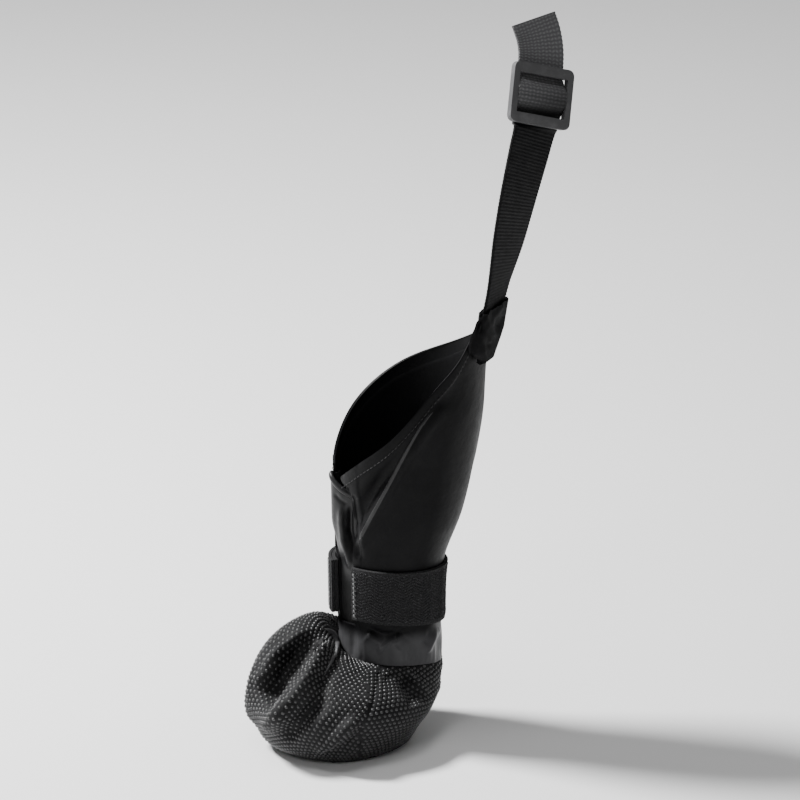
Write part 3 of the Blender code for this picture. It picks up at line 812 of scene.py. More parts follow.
@dataclass(frozen=True)
class Stitches:
    """A row of stitches: how far apart they start, how long each shows and how thick the thread is."""

    pitch: float
    length: float
    thick: float
    slant: float = 0.0
    sides: int = 6
    # along as a share of the length, then width and lift as shares of half the thickness
    profile: Rows = (
        (-0.5, 0.25, -0.35), (-0.40, 0.8, 0.25), (-0.15, 1, 0.6), (0.15, 1, 0.6), (0.40, 0.8, 0.25),
        (0.5, 0.25, -0.35),
    )

    def build(self, name: str, line: Array, normals: Array, finish: Material) -> Piece:
        """The stitches along a line as one mesh.

        Args:
            name: the object's name.
            line: closely set points on the cloth, in millimetres.
            normals: the cloth's outward direction at each point.
            finish: the thread's material.

        Returns:
            The new object.
        """
        run = run_along(line)
        at = np.arange(self.pitch / 2, run[-1] - self.pitch / 4, self.pitch)
        places = straight(run, line, at)
        z = unit(straight(run, normals, at))
        ahead = straight(run, line, at + 0.3) - places
        sides, points, faces = self.sides, [], []
        for along, wide, lift in self.profile:
            for k in range(sides):
                turn = 2 * math.pi * k / sides
                points.append((
                    along * self.length,
                    0.5 * self.thick * wide * math.cos(turn),
                    0.5 * self.thick * (lift + wide * 0.8 * math.sin(turn)),
                ))
        for ring in range(len(self.profile) - 1):
            for k in range(sides):
                a, b = ring * sides + k, ring * sides + (k + 1) % sides
                faces.append((a, b, b + sides, a + sides))
        return MeshKit.copies(name, np.array(points), faces, places, across_from(ahead, z, self.slant), finish)


@dataclass(frozen=True)
class LaidRidge:
    """A fold or a bound edge laid on a skin along its line in a view.

    Attributes:
        side: the view that the line is placed in.
        line: points of the line, across and up, in millimetres.
        half: half of its width.
        height: how far it stands out.
        crest: its section as shares of the half width and of the height.
        ends: the share of its length over which each end dies away.
        step: how far apart its rows lie.
        narrow: its width at the ends, as a share of the whole.
        sink: how far its edges reach into the skin.
    """

    side: Side
    line: Line
    half: float
    height: float
    crest: Line
    ends: Pair = (0.12, 0.05)
    step: float = 0.4
    narrow: float = 0.35
    sink: float = 0.05

    def build(self, name: str, skin: Array, finish: Material) -> Piece:
        """The ridge as one sheet whose edges sink into the skin.

        Args:
            name: the object's name.
            skin: the cloth's outside as rows, columns, x y z.
            finish: the ridge's material.

        Returns:
            The new object.
        """
        rows, wide = skin.shape[:2]
        corners = [
            (i * wide + j, i * wide + j + 1, (i + 1) * wide + j + 1, (i + 1) * wide + j)
            for i in range(rows - 1)
            for j in range(wide - 1)
        ]
        tree = BVHTree.FromPolygons([Vector(p) for p in skin.reshape(-1, 3)], corners)
        points = np.array(self.line)
        run = run_along(points)
        at = np.linspace(0.0, run[-1], int(run[-1] / self.step))
        line = curved(run, points, at)
        ahead = unit(np.gradient(line, axis=0))
        across = np.stack([ahead[:, 1], -ahead[:, 0]], axis=-1)
        share = np.linspace(0.0, 1.0, len(at))
        taper = smooth(share / self.ends[0]) * smooth((1.0 - share) / self.ends[1])
        width = self.half * (self.narrow + (1.0 - self.narrow) * taper)
        grid = np.zeros((len(at), len(self.crest), 3))
        for i, (u, w) in enumerate(line):
            for j, (out, lift) in enumerate(self.crest):
                here = (u + across[i, 0] * out * width[i], w + across[i, 1] * out * width[i])
                start, down = self.side.ray(*here)
                spot, normal, _, _ = tree.ray_cast(Vector(start), Vector(down))
                if spot is None:
                    raise RuntimeError(f"{name} runs off its skin")
                outward = normal if normal.dot(Vector(down)) < 0 else -normal
                grid[i, j] = spot + outward * (self.height * lift * taper[i] - self.sink)
        obj = MeshKit.sheet(name, grid, False, 2 * self.half, float(run[-1]))
        MeshKit.dress(obj, 80.0, finish)
        return obj


# Shader graphs


class Value:
    """A shader socket that takes part in Python expressions."""

    def __init__(self, graph: Graph, socket: bpy.types.NodeSocket):
        self.graph, self.socket = graph, socket

    def __add__(self, other: Value | float) -> Value:
        return self.graph.math("ADD", self, other)

    __radd__ = __add__

    def __mul__(self, other: Value | float) -> Value:
        return self.graph.math("MULTIPLY", self, other)

    __rmul__ = __mul__

    def __sub__(self, other: Value | float) -> Value:
        return self.graph.math("SUBTRACT", self, other)

    def __rsub__(self, other: Value | float) -> Value:
        return self.graph.math("SUBTRACT", other, self)

    def __truediv__(self, other: Value | float) -> Value:
        return self.graph.math("DIVIDE", self, other)

    def __pow__(self, other: Value | float) -> Value:
        return self.graph.math("POWER", self, other)

    def __neg__(self) -> Value:
        return self.graph.math("MULTIPLY", self, -1.0)


class Graph:
    """A material's node tree with its Principled shader."""

    def __init__(self, name: str, colour: Colour, roughness: float, **settings: float):
        """Starts a material.

        Args:
            name: the material's name.
            colour: its base colour.
            roughness: its roughness.
            settings: other inputs of the Principled shader, with _ for a space.
        """
        self.material = bpy.data.materials.new(name)
        self.material.use_nodes = True
        self.tree = self.material.node_tree
        self.shader = self.tree.nodes["Principled BSDF"]
        self.shader.inputs["Base Color"].default_value = (*colour, 1.0)
        self.shader.inputs["Roughness"].default_value = roughness
        for key, value in settings.items():
            self.shader.inputs[key.replace("_", " ")].default_value = value

    def link(self, value: Value | float | tuple, socket: bpy.types.NodeSocket) -> None:
        """Puts a value or a constant on a socket."""
        if isinstance(value, Value):
            self.tree.links.new(value.socket, socket)
        else:
            socket.default_value = value

    def node(self, kind: str, settings: dict | None = None, inputs: dict | None = None, out: int | str = 0) -> Value:
        """Adds a node and returns one of its outputs."""
        made = self.tree.nodes.new(kind)
        for key, value in (settings or {}).items():
            setattr(made, key, value)
        for key, value in (inputs or {}).items():
            self.link(value, made.inputs[key])
        return Value(self, made.outputs[out])

    def math(self, operation: str, a: Value | float, b: Value | float = 0.0) -> Value:
        """A math node."""
        return self.node("ShaderNodeMath", {"operation": operation}, {0: a, 1: b})

    def sine(self, value: Value | float) -> Value:
        """The sine of a value in radians."""
        return self.math("SINE", value)

    def step(self, value: Value, low: float, high: float) -> Value:
        """A soft step from 0 at low to 1 at high."""
        return self.node(
            "ShaderNodeMapRange", {"interpolation_type": "SMOOTHSTEP"},
            {"Value": value, "From Min": low, "From Max": high},
        )

    def coordinates(self, kind: str = "Object") -> Value:
        """Texture coordinates, Object in metres or UV in the piece's millimetres."""
        return self.node("ShaderNodeTexCoord", out=kind)

    def axis(self, vector: Value, name: str) -> Value:
        """One axis of a vector."""
        return self.node("ShaderNodeSeparateXYZ", inputs={0: vector}, out=name)

    def noise(self, vector: Value, scale: float, detail: float = 3.0, roughness: float = 0.5) -> Value:
        """Fractal noise from 0 to 1."""
        return self.node(
            "ShaderNodeTexNoise", inputs={"Vector": vector, "Scale": scale, "Detail": detail, "Roughness": roughness}
        )

    def cells(self, vector: Value, scale: float, randomness: float = 1.0) -> Value:
        """Distance to the nearest cell point."""
        return self.node("ShaderNodeTexVoronoi", inputs={"Vector": vector, "Scale": scale, "Randomness": randomness})

    def mix(self, factor: Value | float, a: tuple | Value, b: tuple | Value) -> Value:
        """A mix of two colours."""
        made = self.tree.nodes.new("ShaderNodeMix")
        made.data_type = "RGBA"
        for value, index in ((factor, 0), (a, 6), (b, 7)):
            colour = (*value, 1.0) if isinstance(value, tuple) and len(value) == 3 else value
            self.link(colour, made.inputs[index])
        return Value(self, made.outputs[2])

    def colour(self, value: Value) -> None:
        """Sets the base colour."""
        self.link(value, self.shader.inputs["Base Color"])

    def rough(self, value: Value) -> None:
        """Sets the roughness."""
        self.link(value, self.shader.inputs["Roughness"])

    def bump(self, height: Value, distance: float, strength: float = 1.0) -> None:
        """Sets the normal from a height, whose unit is a distance in millimetres."""
        bumped = self.node(
            "ShaderNodeBump", inputs={"Height": height, "Distance": distance * MM, "Strength": strength}
        )
        self.link(bumped, self.shader.inputs["Normal"])


@dataclass(frozen=True)
class Softshell:
    """Smooth, tightly woven outer fabric with a satin face."""

    colour: Colour = (0.0024, 0.0024, 0.0027)
    worn: Colour = (0.0050, 0.0050, 0.0055)
    # painted light: the colour that the shaft's ankle band below band_top is lightened to
    band: Colour = (0.048, 0.048, 0.050)
    band_top: float = 57.0
    band_rough: float = -0.08
    rough: float = 0.47
    sheen: float = 0.08
    thread: float = 0.28

    def build(self, name: str = "softshell") -> Material:
        """Makes the material: below band_top its colour turns to the band colour, painted light on the shaft's ankle
        band and painted shade on the lower part of the satin pieces.
        """
        g = Graph(name, self.colour, self.rough, Specular_IOR_Level=self.sheen)
        place = g.coordinates()
        # mask of the part below band_top, where the band colour is painted in
        low = g.step(g.axis(place, "Z"), self.band_top * MM, (self.band_top - 8.0) * MM)
        cloudy = g.noise(place, 55.0, 4.0)
        lint = g.step(g.noise(place, 1500.0, 2.0), 0.66, 0.74)
        cloth = g.mix(g.step(cloudy, 0.35, 0.75) * 0.6 + lint * 0.3, self.colour, self.worn)
        g.colour(g.mix(low, cloth, self.band))
        g.rough(self.rough - 0.05 + g.noise(place, 240.0, 3.0) * 0.14 + low * self.band_rough)
        weave = g.noise(place, 1.0 / (self.thread * MM), 1.0)
        slack = g.noise(place, 130.0, 2.0)
        g.bump(weave * 0.05 + slack * 0.35 + g.noise(place, 420.0, 2.0) * 0.06, 1.0)
        return g.material


@dataclass(frozen=True)
class DottedBase:
    """The matte knit under the raised dots."""

    colour: Colour = (0.0085, 0.0085, 0.0089)
    lighter: Colour = (0.0150, 0.0150, 0.0156)
    thread: float = 0.42

    def build(self, name: str = "dotted_base") -> Material:
        """Makes the material."""
        g = Graph(name, self.colour, 0.62, Specular_IOR_Level=0.1)
        place = g.coordinates()
        knit = g.cells(place, 1.0 / (self.thread * MM), 0.55)
        g.colour(g.mix(g.step(g.noise(place, 90.0, 4.0), 0.35, 0.7), self.colour, self.lighter))
        g.rough(0.55 + g.noise(place, 300.0, 2.0) * 0.18)
        g.bump(knit * -0.12 + g.noise(place, 160.0, 3.0) * 0.3, 1.0)
        return g.material


@dataclass(frozen=True)
class RubberDot:
    """The glossy drops that make the fabric grip."""

    colour: Colour = (0.019, 0.019, 0.0195)

    def build(self, name: str = "rubber_dots") -> Material:
        """Makes the material."""
        g = Graph(name, self.colour, 0.34, Coat_Weight=0.15, Coat_Roughness=0.3, Specular_IOR_Level=0.4)
        place = g.coordinates()
        dusty = g.step(g.noise(place, 120.0, 4.0), 0.4, 0.72)
        g.colour(g.mix(dusty, self.colour, (0.030, 0.030, 0.031)))
        g.rough(0.28 + dusty * 0.16 + g.noise(place, 2200.0, 1.0) * 0.06)
        g.bump(g.noise(place, 3000.0, 1.0), 0.05)
        return g.material


@dataclass(frozen=True)
class LoopTape:
    """Fuzzy loop tape with slanting rows."""

    colour: Colour = (0.0150, 0.0150, 0.0155)
    tips: Colour = (0.026, 0.026, 0.027)

    def build(self, name: str = "loop_tape") -> Material:
        """Makes the material."""
        g = Graph(name, self.colour, 0.86, Sheen_Weight=0.05, Sheen_Roughness=0.5, Specular_IOR_Level=0.1)
        place = g.coordinates()
        fuzz = g.cells(place, 1500.0)
        speck = g.step(fuzz, 0.75, 0.2)
        g.colour(g.mix(speck * g.step(g.noise(place, 800.0, 3.0), 0.4, 0.65), self.colour, self.tips))
        g.rough(0.8 + g.noise(place, 900.0) * 0.15)
        g.bump(speck * 0.3 + g.noise(place, 1800.0, 2.0) * 0.2, 1.0)
        return g.material


@dataclass(frozen=True)
class RibbedWebbing:
    """Woven webbing. Its ribs are real, and its yarns are bump. Above the buckle the tail is painted lighter, with
    painted highlights on its rib crests, and near the tab it is darkened with painted shade.
    """

    colour: Colour = (0.0048, 0.0048, 0.0052)
    worn: Colour = (0.0140, 0.0140, 0.0148)
    # painted light: the tail above the buckle, lighter where it faces up, with lit rib crests
    tail_painted_light: Colour = (0.084, 0.084, 0.087)
    tail_painted_light_yarn: Colour = (0.165, 0.165, 0.169)
    rib: float = 1.6
    cell: float = 1.9
    tail_light_start: float = 300.0
    tail_light_end: float = 321.0
    # painted shade: the lower webbing near the tab, darker from shade_start down to shade_end
    shade: Colour = (0.0022, 0.0022, 0.0024)
    shade_start: float = 262.0
    shade_end: float = 212.0

    def build(self, name: str = "webbing") -> Material:
        """Makes the material."""
        g = Graph(name, self.colour, 0.52, Sheen_Weight=0.01, Specular_IOR_Level=0.12)
        sheet = g.coordinates("UV")
        place = g.coordinates()
        across = g.axis(sheet, "X")
        yarn = g.sine(across * (2.0 * math.pi / 0.62)) * 0.5 + 0.5
        cloth = g.mix(yarn * g.step(g.noise(place, 260.0, 4.0), 0.35, 0.7), self.colour, self.worn)
        # painted light on the tail and painted shade low down
        tail_painted_light = g.step(g.axis(place, "Z"), self.tail_light_start * MM, self.tail_light_end * MM)
        shaded = g.step(g.axis(place, "Z"), self.shade_start * MM, self.shade_end * MM)
        cloth = g.mix(shaded * 0.8, cloth, self.shade)
        crest = g.sine(g.axis(sheet, "Y") * (2.0 * math.pi / self.rib) + g.sine(across * 2.0) * 0.6) * 0.5 + 0.5
        waffle = crest * (g.sine(across * (2.0 * math.pi / self.cell)) * 0.35 + 0.65)
        g.colour(g.mix(tail_painted_light, cloth, g.mix(waffle, self.tail_painted_light, self.tail_painted_light_yarn)))
        g.rough(0.46 + g.noise(place, 500.0, 2.0) * 0.16 + shaded * 0.3)
        g.bump(yarn * 0.07 + g.noise(place, 2500.0, 2.0) * 0.07, 1.0)
        return g.material


@dataclass(frozen=True)
class MouldedPlastic:
    """Satin moulded plastic with a fine grain and slightly rubbed patches."""

    colour: Colour = (0.068, 0.068, 0.070)
    rubbed: Colour = (0.095, 0.095, 0.098)

    def build(self, name: str = "buckle_plastic") -> Material:
        """Makes the material."""
        g = Graph(name, self.colour, 0.52, Specular_IOR_Level=0.2)
        place = g.coordinates()
        g.colour(g.mix(g.step(g.noise(place, 150.0, 5.0), 0.45, 0.75), self.colour, self.rubbed))
        g.rough(0.46 + g.noise(place, 380.0, 4.0) * 0.18)
        g.bump(g.noise(place, 3200.0, 2.0), 0.025)
        return g.material


@dataclass(frozen=True)
class SoftLining:
    """Brushed inner fabric."""

    colour: Colour = (0.008, 0.008, 0.0085)

    def build(self, name: str = "lining") -> Material:
        """Makes the material."""
        g = Graph(name, self.colour, 0.92, Sheen_Weight=0.06, Specular_IOR_Level=0.1)
        place = g.coordinates()
        nap = g.noise(place, 1400.0, 4.0)
        g.colour(g.mix(nap, self.colour, (0.015, 0.015, 0.016)))
        g.bump(nap * 0.25 + g.cells(place, 900.0) * 0.1, 1.0)
        return g.material


@dataclass(frozen=True)
class SewingThread:
    """Twisted black thread."""

    colour: Colour = (0.010, 0.010, 0.0105)

    def build(self, name: str = "thread") -> Material:
        """Makes the material."""
        g = Graph(name, self.colour, 0.5, Specular_IOR_Level=0.4)
        place = g.coordinates()
        g.colour(g.mix(g.noise(place, 900.0), self.colour, tuple(1.6 * c for c in self.colour)))
        g.bump(g.noise(place, 4000.0, 1.0), 0.05)
        return g.material


# The boot's pieces


@dataclass
class Foot:
    """The sole, the insole and the gathered pouch of dotted fabric."""

    form: FootForm
    base: Material
    dots: Material
    lining: Material
    # the binding's finish, light as a painted highlight
    highlight_edging: Material
    pouch_wall: float = 1.6
    insole_wall: float = 2.0
    gap: float = 0.35
    foot_place: float = 0.14
    edge_wall: float = 0.2
    columns: int = 300
    rows: int = 108
    # how far the fabric stands over the sole's edge, and how deep its pleats at the ankle are
    lap: float = 0.32
    pleat: float = 0.12
    # the fabric's flat width and height, for the UVs
    flat_pouch: Pair = (262.0, 152.0)
    flat_sole: Pair = (240.0, 55.0)
    flat_insole: Pair = (200.0, 32.0)
    # the angles between which each panel's dots are laid, and how far the print is turned on it
    front_span: Pair = (-165.0, 96.0)
    heel_span: Pair = (36.0, 260.0)
    front_turn: float = 36.0
    heel_turn: float = 4.0
    # how near to a panel seam dots come, as a share of the turn
    seam_margin: float = 0.0016
    sole_dot_height: float = 0.36
    lattice_seed: int = 3
    pouch_seed: int = 5
    sole_seed: int = 7
    # the small hole in the insole's and the sole's grids that is closed, and what counts as level, in metres
    insole_middle: Pair = (3.0, 0.0)
    insole_hole: float = 6.0
    level: float = 1e-5
    # share of the way up the pouch, then the angles of its outer and inner panel seams
    seam_angles: Rows = (
        (0, 75, 231), (0.11, 74, 231), (0.24, 72.5, 232), (0.36, 71.5, 233), (0.49, 72, 234),
        (0.62, 66, 237), (0.75, 56.5, 240), (0.87, 44, 243), (0.94, 45.5, 244), (1, 54, 245),
    )
    creases: Creases = (
        # the deep dent, its lip and the bright ridge beside it
        Crease(((-13.5, 48), (-24, 42.5), (-33, 33), (-38.5, 23), (-40, 17)), 6.4, -9, lean=-0.4, fade=0.30),
        Crease(((-32.5, 28), (-35.5, 20), (-36.5, 12)), 3.2, -1.8, fade=0.35),
        Crease(((16, 42), (13, 29), (8, 10)), 7, 2.8, side=Side.TOE),
        Crease(((-12, 52), (-22, 49.2), (-32, 43), (-41, 33)), 2.2, 1.8, lean=0.3, fade=0.35),
        Crease(((-8.5, 49), (-13.5, 41), (-20.5, 29), (-31, 14), (-38, 5)), 3.4, 3.8),
        Crease(((-5.5, 47), (-4.5, 41), (-9.5, 32), (-13, 22), (-26, 6)), 2.6, -2.4, lean=-0.3),
        # the lower trough and ridge
        Crease(((-11, 20), (-20, 11), (-30, 0)), 3.2, -2.2),
        Crease(((7, 12), (-4, 3), (-16, -8)), 2.3, 2.8, lean=0.3),
        Crease(((10, 7.5), (1, -1), (-10, -11)), 2.6, -1.6),
        # the seam between the front and the heel panels
        Crease(((17, 36), (14.6, 29.6), (12.2, 18.2), (8, 8), (6, -6)), 1, -0.7, fade=0.05),
        # the dent under the seam on the outer side
        Crease(((25.5, 34), (31.5, 28.5), (38.5, 19.5)), 1.7, 2.2),
        Crease(((25, 30), (29, 25), (34.5, 16)), 3.6, -3.2, fade=0.3),
        # the other sides
        Crease(((-12, 26), (2, 17), (14, 24)), 4.5, -1.8, side=Side.REAR),
        Crease(((-22, 20), (-10, 9), (8, 7), (22, 16)), 2.6, 1, side=Side.REAR),
        Crease(((-24, 40), (-14, 24), (-10, 12)), 3.4, -2, side=Side.INNER),
        Crease(((-31, 38), (-22, 22), (-18, 8)), 3, 1.3, side=Side.INNER),
        Crease(((6, 36), (12, 22), (10, 10)), 4, -1.6, side=Side.INNER),
        Crease(((-6, 50), (-12, 34), (-8, 16)), 3, -1.5, side=Side.FRONT),
        Crease(((4, 50), (9, 36), (14, 20)), 2.6, 1, side=Side.FRONT),
    )

    # the bound edge that shows where the pouch's top is gathered over the front, light in colour as a painted
    # highlight along the fold's edge
    binding: LaidRidge = LaidRidge(
        Side.PHOTO, ((-13, 51.6), (-9, 50.6), (-5.9, 47), (-5.1, 42.5), (-7.4, 37), (-11.5, 29)),
        0.85, 1.5,
        ((-1, -0.2), (-0.95, 0.25), (-0.75, 0.66), (-0.4, 0.92), (0, 1), (0.4, 0.92), (0.75, 0.66),
         (0.95, 0.25), (1, -0.2)),
        (0.25, 0.4),
    )

    def pouch_grid(self) -> Array:
        """The pouch's outside as a closed grid from the sole's seam to the ankle seam."""
        last = len(self.form.sections)
        places = np.linspace(self.foot_place, last, self.rows)
        angles = np.linspace(0.0, 360.0, self.columns + 1)
        grid = self.form.point(places, angles)
        grid[..., 2] += self.form.rise(angles) * (np.clip(1.0 - places, 0.0, None) ** 2)[:, None]
        over = smooth((1.3 - places) / 0.5) * self.lap
        grid = grid + surface_normals(grid, True) * over[:, None, None]
        calm = smooth((places - 0.7) / 0.9) * smooth((last - places) / 0.5)
        grid = pressed(grid, self.creases, True, calm[:, None])
        return self.gathered(grid, places, angles)

    def gathered(self, grid: Array, places: Array, angles: Array) -> Array:
        """Small pleats where the pouch is gathered into the ankle seam."""
        last = len(self.form.sections)
        turn = np.radians(angles)[None, :]
        wave = np.sin(31 * turn + 2.0 * np.sin(3 * turn)) + 0.6 * np.sin(53 * turn + 1.4 * np.sin(5 * turn + 1.0))
        near = smooth((places - last + 2.2) / 1.6) * smooth((last - places) / 0.25)
        return grid + surface_normals(grid, True) * (self.pleat * wave * near[:, None])[..., None]

    def make_pouch(self) -> Piece:
        """The pouch's wall."""
        grid = self.pouch_grid()
        place = np.linspace(self.foot_place, len(self.form.sections), self.rows)
        thickness = self.edge_wall + (self.pouch_wall - self.edge_wall) * smooth((place - 1.02) / 0.1)
        # one skin over the outside, the top, the inside and the foot
        inside = grid - surface_normals(grid, True) * thickness[:, None, None]
        skin = np.concatenate([grid, inside[::-1], grid[:1]])
        obj = MeshKit.sheet("pouch_fabric", skin, True, *self.flat_pouch)
        MeshKit.dress(obj, 60.0, self.base)
        return obj

    def make_sole(self) -> Piece:
        """The cupped sole."""
        shares = np.concatenate([np.linspace(0.02, 0.72, 14), np.linspace(0.76, 2.0, 32)])
        angles = np.linspace(360.0, 0.0, 181)
        obj = MeshKit.sheet("sole_fabric", self.form.underside(shares, angles), True, *self.flat_sole)
        with Reshape(obj) as form:
            edges = [e for e in form.edges if e.is_boundary and all(abs(v.co.z) < self.level for v in e.verts)]
            bmesh.ops.contextual_create(form, geom=edges)
            bmesh.ops.recalc_face_normals(form, faces=form.faces)
            outside = min(form.faces, key=lambda f: f.calc_center_median().z)
            if outside.normal.z > 0:
                bmesh.ops.reverse_faces(form, faces=form.faces)
        MeshKit.wall(obj, self.form.sole_wall)
        MeshKit.dress(obj, 60.0, self.base)
        return obj

    def make_insole(self) -> Piece:
        """The thin pad on the sole."""
        shares = np.linspace(0.02, 0.93, 20)
        angles = np.linspace(0.0, 360.0, 121)
        grid = self.form.underside(shares, angles)
        grid[..., 2] += self.form.sole_wall + self.gap + self.insole_wall
        obj = MeshKit.sheet("insole_pad", grid, True, *self.flat_insole)
        middle = Vector(self.insole_middle) * MM
        with Reshape(obj) as form:
            low = min(v.co.z for v in form.verts)
            edges = [e for e in form.edges if e.is_boundary and all(v.co.z < low + self.level for v in e.verts)]
            inner = [e for e in edges if (e.verts[0].co.xy - middle).length < self.insole_hole * MM]
            bmesh.ops.contextual_create(form, geom=inner)
            bmesh.ops.recalc_face_normals(form, faces=form.faces)
            if min(form.faces, key=lambda f: (f.calc_center_median().xy - middle).length).normal.z < 0:
                bmesh.ops.reverse_faces(form, faces=form.faces)
        MeshKit.wall(obj, self.insole_wall)
        MeshKit.dress(obj, 50.0, self.lining)
        return obj

    def seam_share(self, rows: Array) -> tuple[Array, Array]:
        """The columns of the outer and the inner panel seam at rows of the pouch."""
        place = rows / (self.rows - 1)
        outer, inner = (table_curve(self.seam_angles, k)(place) for k in (1, 2))
        return outer / 360.0 * self.columns, inner / 360.0 * self.columns

    def make_dots(self, name: str, span: Pair, turn: float, heel: bool) -> Piece:
        """The drops of one panel of the pouch between two angles, with the print turned, cut at the seams."""
        grid = self.pouch_grid()[:, :-1]
        start, stop = (int(a / 360.0 * self.columns) for a in span)
        columns = np.arange(start, stop + 1)
        pattern = DotPattern(turn=turn)
        place, points, frames = FlatPanel(grid[:, columns % self.columns]).lay(pattern.spots(self.lattice_seed))
        at = place[:, 1] + start
        outer, inner = self.seam_share(place[:, 0])
        margin = self.columns * self.seam_margin
        low, high = (outer, inner) if heel else (inner - self.columns, outer)
        kept = (at > low + margin) & (at < high - margin)
        kept &= (place[:, 0] > 0.9) & (place[:, 0] < self.rows - 1.8)
        return pattern.build(name, points[kept], frames[kept], self.pouch_seed, self.dots)

    def make_sole_dots(self) -> Piece:
        """The drops round the sole's edge."""
        pattern = DotPattern(height=self.sole_dot_height)
        shares = np.concatenate([np.linspace(0.72, 1.0, 6), np.linspace(1.03, 1.3, 6)])
        side = self.form.underside(shares, np.linspace(0.0, 360.0, 241))
        lift = surface_normals(side, True)
        up = run_along(side[:, 0])
        points, frames = [], []
        for k, run in enumerate(np.arange(up[5] + 0.7, up[-1], pattern.row_pitch)):
            row = np.interp(run, up, np.arange(len(up)))
            i, t = int(row), row - int(row)
            ring = side[i] * (1 - t) + side[i + 1] * t
            normal = unit(lift[i] * (1 - t) + lift[i + 1] * t)
            step = run_along(ring)
            count = int(step[-1] / pattern.pitch)
            for n in range(count):
                at = (n + 0.5 * (k % 2)) / count * step[-1]
                j = int(np.clip(np.searchsorted(step, at) - 1, 0, len(step) - 2))
                share = (at - step[j]) / (step[j + 1] - step[j])
                points.append(ring[j] * (1 - share) + ring[j + 1] * share)
                x, z = unit(ring[j + 1] - ring[j]), normal[j]
                z = unit(z - x * x.dot(z))
                frames.append((x, np.cross(z, x), z))
        return pattern.build("sole_dots", np.array(points), np.array(frames), self.sole_seed, self.dots)

    def build(self) -> None:
        """Makes the foot's pieces and hands them to the frame."""
        hand_in(self.make_dots("front_dots", self.front_span, self.front_turn, False), "non_slip_fabric")
        hand_in(self.make_dots("heel_dots", self.heel_span, self.heel_turn, True), "non_slip_fabric")
        hand_in(self.make_sole_dots(), "non_slip_sole")
        hand_in(self.binding.build("pouch_binding", self.pouch_grid(), self.highlight_edging), "softshell")
        hand_in(self.make_pouch(), "non_slip_fabric", "foot_pouch")
        hand_in(self.make_sole(), "non_slip_sole", "sole")
        hand_in(self.make_insole(), "lining", "insole")


